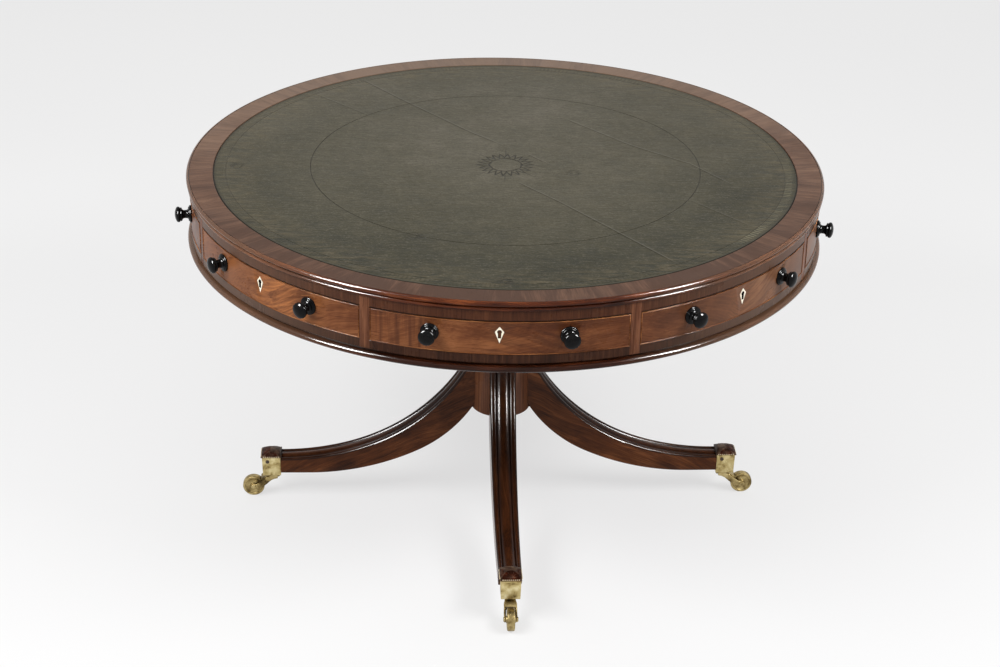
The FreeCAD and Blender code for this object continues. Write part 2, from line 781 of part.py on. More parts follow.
# Column: block for the legs, turned shaft and top tenon, with mortises and a bore
def column_outline():
    shaft_height = platform_low - column_block_top
    levels = [column_block_top + shaft_height * share for share in shaft_height_shares]
    radii = [column_radius * share for share in shaft_radius_shares]
    bead, neck, vase_low, vase, waist, collar, upper_neck, capital = [
        vec(radius, 0, level) for radius, level in zip(radii, levels)]
    block_top = vec(column_radius, 0, column_block_top)
    bead_top = vec(column_radius, 0, 2 * bead.z - column_block_top)
    collar_low = vec(waist.x, 0, (waist.z + collar.z) / 2)
    collar_high = vec(waist.x, 0, (collar.z + upper_neck.z) / 2)
    capital_top = vec(capital.x, 0, platform_low)
    tenon_foot = vec(platform_tenon_radius, 0, platform_low)
    tenon_top = vec(platform_tenon_radius, 0, platform_top)
    flare_middle = vec((upper_neck.x * 2 + capital.x) / 3, 0, (upper_neck.z + capital.z) / 2)
    return [
        line(vec(0, 0, column_bottom), vec(column_radius, 0, column_bottom)),
        line(vec(column_radius, 0, column_bottom), block_top),
        arc(block_top, bead, bead_top),
        line(bead_top, neck),
        line(neck, vase_low),
        arc(vase_low, vase, waist),
        line(waist, collar_low),
        arc(collar_low, collar, collar_high),
        line(collar_high, upper_neck),
        arc(upper_neck, flare_middle, capital),
        line(capital, capital_top),
        line(capital_top, tenon_foot),
        line(tenon_foot, tenon_top),
        line(tenon_top, vec(0, 0, platform_top)),
        line(vec(0, 0, platform_top), vec(0, 0, column_bottom)),
    ]


def column():
    shape = turned(column_outline())
    mortise = dovetail(dovetail_clearance, column_bottom - cut_overrun, dovetail_top + dovetail_clearance)
    bore_low = platform_low - spindle_sunk_length - joint_gap
    cuts = [at_leg(mortise, azimuth) for azimuth in leg_azimuths]
    cuts.append(cylinder(spindle_radius + joint_gap, bore_low, platform_top + cut_overrun))
    return shape.cut(cuts)


def leg_plate():
    # A disc under the column with a strap to each leg, bent to the leg's underside
    disc_top = column_bottom - strap_gap
    disc_low = disc_top - strap_thickness
    half_width = strap_width / 2
    inner_centre, inner_bend = under_curve()[4:6]
    band_start = vec(inner_centre.x, -half_width, inner_centre.z)
    inner_radius = inner_bend + strap_gap
    band = Part.makeCylinder(inner_radius + strap_thickness, strap_width, band_start, y_axis)
    band = band.cut(Part.makeCylinder(inner_radius, strap_width, band_start, y_axis))
    bend_start = column_radius + strap_gap
    reach = block(bend_start, column_radius + strap_reach, -half_width, half_width, 0, inner_centre.z)
    band = band.common(reach)
    flat = block(0, bend_start + strap_joint_lap, -half_width, half_width, disc_low, disc_top)
    clear_of_leg = Part.makeCylinder(inner_radius, strap_width, band_start, y_axis)
    strap = flat.cut(clear_of_leg).fuse(band)
    shape = cylinder(strap_disc_radius, disc_low, disc_top)
    return shape.fuse([at_leg(strap, azimuth) for azimuth in leg_azimuths]).removeSplitter()


# Brass cap on the toe
def castor_cap():
    half_width = cap_width / 2
    box = block(cap_inner, cap_outer, -half_width, half_width, cap_low, cap_high)
    inner_half = half_width - cap_wall
    cavity = block(cap_inner - cut_overrun, cap_outer - cap_wall, -inner_half, inner_half,
                   cap_floor_top, cap_high + cut_overrun)
    place = vec(pintle_circle_radius, 0, cap_low - cut_overrun)
    bore = Part.makeCylinder(pintle_radius + pintle_clearance, cap_floor + 2 * cut_overrun, place)
    seat_depth = pintle_head_height + 2 * pintle_head_clearance
    seat_place = vec(pintle_circle_radius, 0, cap_floor_top - seat_depth)
    seat = Part.makeCylinder(pintle_head_radius + pintle_head_clearance, seat_depth + cut_overrun, seat_place)
    screws = cap_screw_bodies(cap_screw_radius + joint_gap, cap_wall + cut_overrun)
    return box.cut([cavity, bore, seat] + screws)


def cap_screws():
    screws = []
    for place, way in cap_screw_places():
        head_start = vec(place.x, place.y - way * cap_screw_head_height, place.z)
        head = Part.makeCylinder(cap_screw_head_radius, cap_screw_head_height, head_start, vec(0, way, 0))
        half_slot = cap_screw_slot / 2
        reach = cap_screw_head_radius + half_slot
        slot_side = place.y - way * cap_screw_head_height
        slot = block(place.x - reach, place.x + reach, slot_side - half_slot, slot_side + half_slot,
                     place.z - half_slot, place.z + half_slot)
        shank = Part.makeCylinder(cap_screw_radius, cap_screw_length, place, vec(0, way, 0))
        screws.append(head.cut(slot).fuse(shank))
    return screws


# Castor: horn with its pintle, axle pin and wheel, trailing outwards
def horn_side_outline():
    # Side view of the horn's arms: a heel under the cap and an eye round the axle
    heel_x = pintle_circle_radius - horn_heel_back
    heel_low = horn_heel_height - horn_heel_depth / 2
    heel_high = horn_heel_height + horn_heel_depth / 2
    eye = vec(castor_circle_radius, 0, wheel_radius)
    bridge_x = pintle_circle_radius + horn_bridge_front
    run = vec(castor_circle_radius - heel_x, 0, wheel_radius - horn_heel_height)
    tilt = math.atan2(run.z, run.x)
    upper = vec(eye.x - horn_eye_radius * math.sin(tilt), 0, eye.z + horn_eye_radius * math.cos(tilt))
    lower = vec(eye.x + horn_eye_radius * math.sin(tilt), 0, eye.z - horn_eye_radius * math.cos(tilt))
    tip = vec(eye.x + horn_eye_radius * math.cos(tilt), 0, eye.z + horn_eye_radius * math.sin(tilt))
    return [
        line(vec(heel_x, 0, heel_high), vec(bridge_x, 0, heel_high)),
        line(vec(bridge_x, 0, heel_high), upper),
        arc(upper, tip, lower),
        line(lower, vec(heel_x, 0, heel_low)),
        line(vec(heel_x, 0, heel_low), vec(heel_x, 0, heel_high)),
    ]


def castor_fork():
    inner_half = wheel_hub_width / 2 + horn_arm_gap
    outer_half = inner_half + horn_arm_thickness
    side = Part.Face(Part.Wire(horn_side_outline())).extrude(vec(0, 2 * outer_half, 0))
    side.translate(vec(0, -outer_half, 0))
    bridge_x = pintle_circle_radius + horn_bridge_front
    slot = block(bridge_x, castor_circle_radius + wheel_radius, -inner_half, inner_half, 0, cap_low)
    fork_top = cap_low - horn_gap_to_cap
    shoulder_low = fork_top - horn_shoulder_height
    place = vec(pintle_circle_radius, 0, 0)
    neck_height = shoulder_low - horn_heel_height
    neck = Part.makeCylinder(horn_neck_radius, neck_height, place + vec(0, 0, horn_heel_height))
    shoulder = Part.makeCylinder(horn_shoulder_radius, horn_shoulder_height, place + vec(0, 0, shoulder_low))
    head_top = cap_floor_top - pintle_head_clearance
    head_low = head_top - pintle_head_height
    pin = Part.makeCylinder(pintle_radius, head_low - shoulder_low, place + vec(0, 0, shoulder_low))
    head = Part.makeCylinder(pintle_head_radius, pintle_head_height, place + vec(0, 0, head_low))
    hole_start = vec(castor_circle_radius, -outer_half - cut_overrun, wheel_radius)
    hole = Part.makeCylinder(axle_radius + joint_gap, 2 * (outer_half + cut_overrun), hole_start, y_axis)
    return side.cut(slot).fuse([neck, shoulder, pin, head]).cut(hole).removeSplitter()


def castor_axle():
    outer_half = wheel_hub_width / 2 + horn_arm_gap + horn_arm_thickness + joint_gap
    middle = vec(castor_circle_radius, -outer_half, wheel_radius)
    pin = Part.makeCylinder(axle_radius, 2 * outer_half, middle, y_axis)
    heads = []
    for start in (-outer_half - axle_head_height, outer_half):
        place = vec(castor_circle_radius, start, wheel_radius)
        heads.append(Part.makeCylinder(axle_head_radius, axle_head_height, place, y_axis))
    return pin.fuse(heads)


def castor_wheel():
    # Turned along Z about the origin, then laid on its axle
    half_width = wheel_width / 2
    half_hub = wheel_hub_width / 2
    tread = half_width - wheel_tread_round
    rim_inner = wheel_radius - wheel_rim
    web = half_width - wheel_dish
    bore = axle_radius + axle_clearance
    shoulder = wheel_radius - wheel_tread_round
    bevel = wheel_tread_round * (1 - math.cos(math.radians(45.0)))
    outline = [
        line(vec(bore, 0, -half_hub), vec(wheel_hub_radius, 0, -half_hub)),
        line(vec(wheel_hub_radius, 0, -half_hub), vec(wheel_hub_radius, 0, -web)),
        line(vec(wheel_hub_radius, 0, -web), vec(rim_inner, 0, -web)),
        line(vec(rim_inner, 0, -web), vec(rim_inner, 0, -half_width)),
        line(vec(rim_inner, 0, -half_width), vec(shoulder, 0, -half_width)),
        arc(vec(shoulder, 0, -half_width), vec(wheel_radius - bevel, 0, bevel - half_width),
            vec(wheel_radius, 0, -tread)),
        line(vec(wheel_radius, 0, -tread), vec(wheel_radius, 0, tread)),
        arc(vec(wheel_radius, 0, tread), vec(wheel_radius - bevel, 0, half_width - bevel),
            vec(shoulder, 0, half_width)),
        line(vec(shoulder, 0, half_width), vec(rim_inner, 0, half_width)),
        line(vec(rim_inner, 0, half_width), vec(rim_inner, 0, web)),
        line(vec(rim_inner, 0, web), vec(wheel_hub_radius, 0, web)),
        line(vec(wheel_hub_radius, 0, web), vec(wheel_hub_radius, 0, half_hub)),
        line(vec(wheel_hub_radius, 0, half_hub), vec(bore, 0, half_hub)),
        line(vec(bore, 0, half_hub), vec(bore, 0, -half_hub)),
    ]
    wheel = turned(outline)
    wheel.rotate(origin, vec(1, 0, 0), 90)
    wheel.translate(vec(castor_circle_radius, 0, wheel_radius))
    return wheel


# Write every piece to its own file
write([top_board()], "top_board")
write([top_crossbanding()], "top_crossbanding")
write([leather_inset()], "leather_inset")
write([drum_base_board()], "drum_base_board")
write([base_moulding()], "base_moulding")
write(frieze_stiles(), "frieze_stiles")
write(frieze_rails(opening_top, top_under), "top_rails")
write(frieze_rails(rail_bottom, opening_bottom), "bottom_rails")
write(drawer_guides(), "drawer_guides")
write(drawer_runners(), "drawer_runners")
write([hub_block()], "hub_block")

sham = plain_front(sham_bay_half_angle)
real_front = drawer_front()
knobs = knob_pair()
plate = escutcheon()
write([at_azimuth(sham, azimuth) for azimuth in sham_azimuths], "sham_fronts")
write([at_azimuth(piece, azimuth) for azimuth in sham_azimuths for piece in knobs], "sham_knobs")
write([at_azimuth(plate, azimuth) for azimuth in sham_azimuths], "sham_escutcheons")

box = drawer_box()
lock = drawer_lock()
for number, azimuth in enumerate(real_azimuths, start=1):
    label = "drawer_" + str(number)
    write([at_azimuth(real_front, azimuth)], label + "_front")
    write([at_azimuth(board, azimuth) for board in box], label + "_box")
    write([at_azimuth(piece, azimuth) for piece in knobs], label + "_knobs")
    write([at_azimuth(plate, azimuth)], label + "_escutcheon")
    write([at_azimuth(piece, azimuth) for piece in lock], label + "_lock")

write([column()], "column")
write([column_platform()], "column_platform")
write([spindle()], "spindle")
write([spindle_nut()], "spindle_nut")
write([leg_plate()], "leg_plate")

one_leg = leg()
one_cap = castor_cap()
one_fork = castor_fork()
one_axle = castor_axle()
one_wheel = castor_wheel()
one_screw_pair = cap_screws()
for number, azimuth in enumerate(leg_azimuths, start=1):
    write([at_leg(one_leg, azimuth)], "leg_" + str(number))
    write([at_leg(one_cap, azimuth)], "castor_cap_" + str(number))
    write([at_leg(one_fork, azimuth)], "castor_fork_" + str(number))
    write([at_leg(one_axle, azimuth)], "castor_axle_" + str(number))
    write([at_leg(one_wheel, azimuth)], "castor_wheel_" + str(number))
write([at_leg(screw, azimuth) for azimuth in leg_azimuths for screw in one_screw_pair], "castor_cap_screws")
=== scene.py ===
import math
import random

import bmesh
import bpy
from mathutils import Matrix, Vector


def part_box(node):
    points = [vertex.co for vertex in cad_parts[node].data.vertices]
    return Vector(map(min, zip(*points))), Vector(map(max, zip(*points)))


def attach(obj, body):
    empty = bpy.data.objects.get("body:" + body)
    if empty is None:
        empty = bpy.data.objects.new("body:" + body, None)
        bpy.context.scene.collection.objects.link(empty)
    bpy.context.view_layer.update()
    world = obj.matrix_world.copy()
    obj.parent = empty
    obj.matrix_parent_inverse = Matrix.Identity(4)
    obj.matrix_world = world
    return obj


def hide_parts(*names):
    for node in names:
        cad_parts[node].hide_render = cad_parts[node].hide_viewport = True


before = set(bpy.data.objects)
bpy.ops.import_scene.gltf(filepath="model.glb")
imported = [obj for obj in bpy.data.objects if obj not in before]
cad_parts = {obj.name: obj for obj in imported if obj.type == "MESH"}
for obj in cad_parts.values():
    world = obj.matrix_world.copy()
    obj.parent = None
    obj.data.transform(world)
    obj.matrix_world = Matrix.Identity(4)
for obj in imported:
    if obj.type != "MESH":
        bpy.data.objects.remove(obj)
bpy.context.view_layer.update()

# Metres, Z up. An azimuth is counted in degrees from -Y towards +X, as the drawers and legs are numbered.
full_turn = 2 * math.pi
shades = random.Random(7)

# Drum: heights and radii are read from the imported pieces.
top_radius = round(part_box("top_board")[1].x, 4)
top_level = round(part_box("top_board")[1].z, 4)
top_under = round(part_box("top_board")[0].z, 4)
leather_radius = round(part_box("leather_inset")[1].x, 4)
leather_sink = 0.0003
leather_level = round(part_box("leather_inset")[1].z, 4) - leather_sink
leather_foot = round(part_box("leather_inset")[0].z, 4)
drum_bottom = round(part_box("drum_base_board")[0].z, 4)
rail_bottom = round(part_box("drum_base_board")[1].z, 4)
base_board_radius = round(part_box("drum_base_board")[1].x, 4)
opening_top = round(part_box("top_rails")[0].z, 4)
opening_bottom = round(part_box("bottom_rails")[1].z, 4)
frieze_radius = 0.6035
rail_inner_radius = 0.572
front_inner_radius = 0.5835
base_moulding_radius = round(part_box("base_moulding")[1].x, 4)

bay_pitch = 45.0
drawer_stile_width = 0.0121
sham_stile_width = 0.0070
front_gap = 0.0006
drawer_side_angle = math.degrees(drawer_stile_width / frieze_radius)
sham_side_angle = math.degrees(sham_stile_width / frieze_radius)
front_gap_angle = math.degrees(front_gap / front_inner_radius)
real_azimuths = {"drawer_1": 0.0, "drawer_2": 90.0, "drawer_3": 180.0, "drawer_4": 270.0}
sham_azimuths = (45.0, 135.0, 225.0, 315.0)
leg_azimuths = (48.6, 138.6, 228.6, 318.6)


def bay_half_angle(sham):
    return bay_pitch / 2 - (sham_side_angle if sham else drawer_side_angle)


def front_half_angle(sham):
    return bay_half_angle(sham) - front_gap_angle


# Shapes. Outlines are lists of (radius or length, height).
def arc_points(start, middle, end, count):
    (ax, ay), (bx, by), (cx, cy) = start, middle, end
    twice = 2 * (ax * (by - cy) + bx * (cy - ay) + cx * (ay - by))
    a2, b2, c2 = ax * ax + ay * ay, bx * bx + by * by, cx * cx + cy * cy
    ux = (a2 * (by - cy) + b2 * (cy - ay) + c2 * (ay - by)) / twice
    uy = (a2 * (cx - bx) + b2 * (ax - cx) + c2 * (bx - ax)) / twice
    radius = math.hypot(ax - ux, ay - uy)
    first, via, last = (math.atan2(y - uy, x - ux) for x, y in (start, middle, end))
    sweep = (last - first) % full_turn
    if (via - first) % full_turn > sweep:
        sweep -= full_turn
    angles = [first + sweep * k / (count - 1) for k in range(count)]
    return [(ux + radius * math.cos(a), uy + radius * math.sin(a)) for a in angles]


def half_round(inner, depth, low, high, count=9):
    return arc_points((inner, low), (inner + depth, (low + high) / 2), (inner, high), count)


def outline_mesh(outline, closed):
    bm = bmesh.new()
    verts = [bm.verts.new((r, 0, z)) for r, z in outline]
    for pair in zip(verts, verts[1:]):
        bm.edges.new(pair)
    if closed:
        bm.edges.new((verts[-1], verts[0]))
    return bm


def turned(outline, steps, closed=False):
    # A full turn round Z; an open outline starts and ends on the axis.
    bm = outline_mesh(outline, closed)
    bmesh.ops.spin(bm, geom=bm.verts[:] + bm.edges[:], cent=(0, 0, 0), axis=(0, 0, 1), dvec=(0, 0, 0),
                   angle=full_turn, steps=steps, use_merge=True, use_duplicate=False)
    bmesh.ops.remove_doubles(bm, verts=bm.verts[:], dist=1e-6)
    bmesh.ops.recalc_face_normals(bm, faces=bm.faces[:])
    return bm


def sector(outline, middle_azimuth, half_angle, steps):
    # A closed outline carried round part of the drum, with both ends filled
    bm = outline_mesh(outline, True)
    start = math.radians(middle_azimuth - half_angle - 90)
    bmesh.ops.rotate(bm, verts=bm.verts[:], cent=(0, 0, 0), matrix=Matrix.Rotation(start, 3, "Z"))
    bmesh.ops.spin(bm, geom=bm.verts[:] + bm.edges[:], cent=(0, 0, 0), axis=(0, 0, 1), dvec=(0, 0, 0),
                   angle=math.radians(2 * half_angle), steps=steps, use_merge=False, use_duplicate=False)
    bmesh.ops.holes_fill(bm, edges=bm.edges[:], sides=0)
    bmesh.ops.recalc_face_normals(bm, faces=bm.faces[:])
    return bm


def merged_copy(node):
    bm = bmesh.new()
    bm.from_mesh(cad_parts[node].data)
    bmesh.ops.remove_doubles(bm, verts=bm.verts[:], dist=2e-6)
    bmesh.ops.dissolve_limit(bm, angle_limit=math.radians(0.5), verts=bm.verts[:], edges=bm.edges[:],
                             use_dissolve_boundaries=False, delimit=set())
    return bm


def box_mesh(low, high):
    bm = bmesh.new()
    bmesh.ops.create_cube(bm, size=1)
    size = [h - l for l, h in zip(low, high)]
    bmesh.ops.scale(bm, vec=size, verts=bm.verts[:])
    bmesh.ops.translate(bm, vec=[(l + h) / 2 for l, h in zip(low, high)], verts=bm.verts[:])
    return bm


def bevel_sharp(bm, width, segments=2, angle=30):
    edges = [e for e in bm.edges if len(e.link_faces) == 2 and e.calc_face_angle(0) > math.radians(angle)]
    bmesh.ops.bevel(bm, geom=edges, offset=width, offset_type="OFFSET", segments=segments, profile=0.5,
                    affect="EDGES", material=-1, clamp_overlap=True)


def join_rings(bm, rings):
    # Walls between rings of vertices that follow one another, and a face on the first and the last ring
    count = len(rings[0])
    for low, high in zip(rings, rings[1:]):
        for k in range(count):
            bm.faces.new((low[k], low[(k + 1) % count], high[(k + 1) % count], high[k]))
    bm.faces.new(rings[0])
    bm.faces.new(rings[-1])
    bmesh.ops.recalc_face_normals(bm, faces=bm.faces[:])


def joined(parts):
    whole = bmesh.new()
    for part in parts:
        mesh = bpy.data.meshes.new("part")
        part.to_mesh(mesh)
        part.free()
        whole.from_mesh(mesh)
        bpy.data.meshes.remove(mesh)
    return whole


def copied(bm):
    # A copy with fresh normals, from which add_piece tells outside from inside
    other = bm.copy()
    other.normal_update()
    return other


def leg_turn(azimuth):
    # A leg's own frame points outwards along +X.
    return Matrix.Rotation(math.radians(azimuth - 90), 4, "Z")


def add_vectors(mesh, name, vectors):
    layer = mesh.attributes.new(name, "FLOAT_VECTOR", "POINT")
    layer.data.foreach_set("vector", [c for v in vectors for c in v])


def add_values(mesh, name, values):
    layer = mesh.attributes.new(name, "FLOAT", "POINT")
    layer.data.foreach_set("value", values)


# Pieces that each kind of glint lights
polished_pieces = bpy.data.collections.new("polished_pieces")
brass_pieces = bpy.data.collections.new("brass_pieces")
polished_slots = ("edge_mahogany", "frieze_mahogany", "front_mahogany", "base_mahogany", "ebonised_wood")


def add_piece(name, bm, body, slot, material, replaced=(), sharp=35, turn=None, grain=None, values=None):
    # grain(co) and each of values (co) are read in the piece's own frame, before it is turned to its place.
    bm.verts.ensure_lookup_table()
    bmesh.ops.recalc_face_normals(bm, faces=bm.faces[:])
    mesh = bpy.data.meshes.new(name)
    own = [v.co.copy() for v in bm.verts]
    if turn is not None:
        bmesh.ops.transform(bm, matrix=turn, verts=bm.verts[:])
    bm.to_mesh(mesh)
    bm.free()
    if grain is not None:
        add_vectors(mesh, "grain", [grain(co) for co in own])
    for key, value in (values or {}).items():
        add_values(mesh, key, [value(co) for co in own])
    mesh.shade_smooth()
    mesh.set_sharp_from_angle(angle=math.radians(sharp))
    mesh.materials.append(material)
    piece = bpy.data.objects.new(name, mesh)
    bpy.context.scene.collection.objects.link(piece)
    if slot == "brass":
        brass_pieces.objects.link(piece)
    elif slot in polished_slots and material.name != "carved_wood":
        polished_pieces.objects.link(piece)
    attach(piece, body)
    if replaced:
        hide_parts(*replaced)
    return piece


# Finishes. Colours are given as seen, in 0-255 sRGB.
def tint(red, green, blue):
    def linear(value):
        share = value / 255
        return share / 12.92 if share <= 0.04045 else ((share + 0.055) / 1.055) ** 2.4
    return (linear(red), linear(green), linear(blue), 1.0)


class Finish:
    # A material with its shader, and short ways to add the nodes that feed it

    def __init__(self, name, roughness=0.4, metallic=0.0, coat=0.0, coat_roughness=0.1, specular=0.3):
        self.material = bpy.data.materials.new(name)
        self.material.use_nodes = True
        self.tree = self.material.node_tree
        self.tree.nodes.clear()
        output = self.tree.nodes.new("ShaderNodeOutputMaterial")
        self.shader = self.tree.nodes.new("ShaderNodeBsdfPrincipled")
        self.tree.links.new(self.shader.outputs["BSDF"], output.inputs["Surface"])
        for key, value in (("Roughness", roughness), ("Metallic", metallic), ("Coat Weight", coat),
                           ("Coat Roughness", coat_roughness), ("Specular IOR Level", specular)):
            self.shader.inputs[key].default_value = value

    def node(self, kind, inputs, **settings):
        made = self.tree.nodes.new("ShaderNode" + kind)
        for key, value in settings.items():
            setattr(made, key, value)
        for key, value in inputs.items():
            self.feed(made.inputs[key], value)
        return made

    def feed(self, socket, value):
        if isinstance(value, bpy.types.NodeSocket):
            self.tree.links.new(value, socket)
        else:
            socket.default_value = value

    def give(self, socket, value):
        self.feed(self.shader.inputs[socket], value)

    def object_place(self):
        return self.node("TexCoord", {}).outputs["Object"]

    def attribute(self, name, output="Vector"):
        return self.node("Attribute", {}, attribute_name=name).outputs[output]

    def split(self, place):
        parts = self.node("SeparateXYZ", {"Vector": place})
        return [parts.outputs[axis] for axis in "XYZ"]

    def placed(self, x, y, z):
        return self.node("CombineXYZ", {"X": x, "Y": y, "Z": z}).outputs["Vector"]

    def math(self, operation, a, b=0.0):
        return self.node("Math", {0: a, 1: b}, operation=operation).outputs[0]

    def plus(self, a, b):
        return self.math("ADD", a, b)

    def minus(self, a, b):
        return self.math("SUBTRACT", a, b)

    def times(self, a, b):
        return self.math("MULTIPLY", a, b)

    def larger(self, a, b):
        return self.math("MAXIMUM", a, b)

    def blended(self, *parts):
        # The sum of several values, each multiplied by its share
        (first, share), *others = parts
        total = self.times(first, share)
        for value, share in others:
            total = self.plus(total, self.times(value, share))
        return total

    def vector_math(self, operation, inputs, output="Vector"):
        return self.node("VectorMath", inputs, operation=operation).outputs[output]

    def stretched(self, place, scale, turn=None):
        # Turned first, so that the stretch lies along the turned axes
        if turn is not None:
            place = self.node("Mapping", {"Vector": place, "Rotation": turn}).outputs["Vector"]
        return self.node("Mapping", {"Vector": place, "Scale": scale}).outputs["Vector"]

    def between(self, value, low, high, soft):
        # 1 between two values and 0 outside them, with soft ends
        rising = self.fade(value, low - soft, low + soft)
        falling = self.fade(value, high + soft, high - soft)
        return self.times(rising, falling)

    def noise(self, place, scale=1.0, detail=3.0, roughness=0.55, distortion=0.0):
        inputs = {"Vector": place, "Scale": scale, "Detail": detail, "Roughness": roughness,
                  "Distortion": distortion}
        return self.node("TexNoise", inputs).outputs["Fac"]

    def fade(self, value, low, high, to_low=0.0, to_high=1.0):
        inputs = {"Value": value, "From Min": low, "From Max": high, "To Min": to_low, "To Max": to_high}
        return self.node("MapRange", inputs, clamp=True).outputs["Result"]

    def mix(self, factor, a, b, blend="MIX"):
        made = self.node("Mix", {}, data_type="RGBA", blend_type=blend, clamp_factor=True)
        for key, value in (("Factor_Float", factor), ("A_Color", a), ("B_Color", b)):
            socket = next(s for s in made.inputs if s.identifier == key)
            self.feed(socket, value)
        return next(s for s in made.outputs if s.identifier == "Result_Color")

    def ramp(self, factor, stops):
        made = self.node("ValToRGB", {"Fac": factor})
        ends = made.color_ramp.elements
        for share, colour in stops[1:-1]:
            ends.new(share)
        for element, (share, colour) in zip(ends, stops):
            element.position = share
            element.color = colour
        return made.outputs["Color"]

    def stain(self, colour, mask, share, stain):
        # Lays one colour over another where the mask is, as strong as its share; used for stains and figure,
        # and for painted shade and highlights.
        return self.mix(self.times(mask, share), colour, stain)

    def round_drum(self):
        # Place as (length round the drum, radius, height), with its angle and radius, from Object coordinates
        x, y, z = self.split(self.object_place())
        angle = self.math("ARCTAN2", x, self.times(y, -1.0))
        radius = self.math("SQRT", self.plus(self.times(x, x), self.times(y, y)))
        return self.placed(self.times(angle, frieze_radius), radius, z), angle, radius

    def tinge(self, factor, colour):
        # Mixes a colour into the one given before.
        before = self.shader.inputs["Base Color"].links[0].from_socket
        self.give("Base Color", self.mix(factor, before, colour))

    def away_from(self, azimuth, start, end, share):
        # 0 near an azimuth of the drum and share far from it
        here = self.math("DEGREES", self.round_drum()[1])
        off = self.math("ABSOLUTE", self.minus(here, azimuth))
        return self.fade(off, start, end, 0.0, share)

    def bump(self, height, strength, distance):
        inputs = {"Height": height, "Strength": strength, "Distance": distance}
        self.give("Normal", self.node("Bump", inputs).outputs["Normal"])


fibre_relief = 0.00008


def wood(finish, place, colours, streaks=(3.0, 30.0, 30.0), fibres=(14.0, 420.0, 420.0), pores=0.5,
         mottle=6.0, warp=0.0, tone=None):
    # place has X along the grain; colours go from the darkest streak to the lightest.
    dark, middle, light = colours
    if warp:
        inputs = {"Vector": place, "Scale": mottle * 0.8, "Detail": 1.0}
        waves = finish.node("TexNoise", inputs).outputs["Color"]
        centred = finish.vector_math("SUBTRACT", {0: waves, 1: (0.5, 0.5, 0.5)})
        pushed = finish.vector_math("SCALE", {0: centred, "Scale": warp})
        place = finish.vector_math("ADD", {0: place, 1: pushed})
    broad = finish.noise(finish.stretched(place, streaks), 1.0, 4.0, 0.6, 0.4)
    fine = finish.noise(finish.stretched(place, fibres), 1.0, 3.0, 0.6)
    clouds = finish.noise(place, mottle, 2.0)
    short = tuple(scale * share for scale, share in zip(fibres, (2.6, 1.7, 1.7)))
    dots = finish.noise(finish.stretched(place, short), 1.0, 1.0)
    blend = finish.blended((broad, 0.62), (clouds, 0.38), (finish.minus(fine, 0.5), 0.42))
    if tone is not None:
        blend = finish.plus(blend, tone)
    colour = finish.ramp(blend, [(0.34, dark), (0.52, middle), (0.70, light)])
    marks = finish.fade(dots, 0.36, 0.30, 0.0, pores)
    darker = tuple(channel * 0.45 for channel in dark[:3]) + (1.0,)
    colour = finish.mix(marks, colour, darker)
    finish.bump(finish.minus(fine, finish.times(marks, 0.8)), 0.35, fibre_relief)
    return colour, blend


def polished(finish, low, high, blend):
    # Wax worn unevenly: the roughness wanders between low and high.
    hazy = finish.noise(finish.object_place(), 9.0, 4.0, 0.65)
    worn = finish.plus(hazy, finish.times(blend, 0.2))
    finish.give("Roughness", finish.fade(worn, 0.35, 0.85, low, high))


def mahogany(name, place_of, colours, gloss=(0.22, 0.36), coat=0.04, specular=0.08, **figure):
    finish = Finish(name, coat=coat, coat_roughness=0.12, specular=specular)
    colour, blend = wood(finish, place_of(finish), colours, **figure)
    finish.give("Base Color", colour)
    polished(finish, gloss[0], gloss[1], blend)
    return finish


def round_grain(finish):
    return finish.round_drum()[0]


def upright_grain(finish):
    # Grain along Z on a round piece: height first, then the length round it
    length, radius, height = finish.split(finish.round_drum()[0])
    return finish.placed(height, length, radius)


def painted_sheen_sides(finish, share, pale):
    # Painted sheen: the drum's sides are paler than the part near azimuth 45, which faces the camera.
    finish.tinge(finish.away_from(darkest_azimuth, 20.0, 48.0, share), pale)


# The azimuth that faces the camera, where the sides' painted sheen is weakest
darkest_azimuth = 45.0
reeded = {"gloss": (0.10, 0.18), "coat": 0.1, "specular": 0.1, "streaks": (5.0, 60.0, 60.0)}


def edge_wood():
    colours = (tint(34, 13, 6), tint(76, 34, 14), tint(128, 67, 31))
    finish = mahogany("edge_wood", round_grain, colours, mottle=11.0, **reeded)
    # Painted sheen pales the drum's sides.
    painted_sheen_sides(finish, 0.6, tint(104, 79, 61))
    return finish.material


def moulding_wood():
    colours = (tint(22, 8, 4), tint(46, 20, 9), tint(84, 42, 22))
    finish = mahogany("moulding_wood", round_grain, colours, mottle=9.0, **reeded)
    # Painted sheen pales the drum's sides.
    painted_sheen_sides(finish, 0.6, tint(108, 80, 61))
    return finish.material


def crossband_wood():
    finish = Finish("crossband_wood", coat=0.02, coat_roughness=0.25, specular=0.08)
    # Painted sheen: the side away from azimuth 45 is lighter in tone and greyed below.
    wear_and_sheen = far_side_sheen(finish)
    tone = finish.blended((finish.attribute("tone", "Fac"), 0.09), (wear_and_sheen, 0.16))
    colours = (tint(68, 46, 34), tint(92, 66, 51), tint(116, 88, 70))
    colour, blend = wood(finish, finish.attribute("grain"), colours, streaks=(8.0, 55.0, 55.0),
                         fibres=(25.0, 520.0, 520.0), mottle=9.0, tone=tone)
    # Painted sheen: a pale grey laid over that far side
    painted_sheen_share = finish.fade(wear_and_sheen, 0.0, 1.0, 0.0, 0.45)
    finish.give("Base Color", finish.mix(painted_sheen_share, colour, tint(122, 108, 95)))
    polished(finish, 0.34, 0.48, blend)
    return finish.material


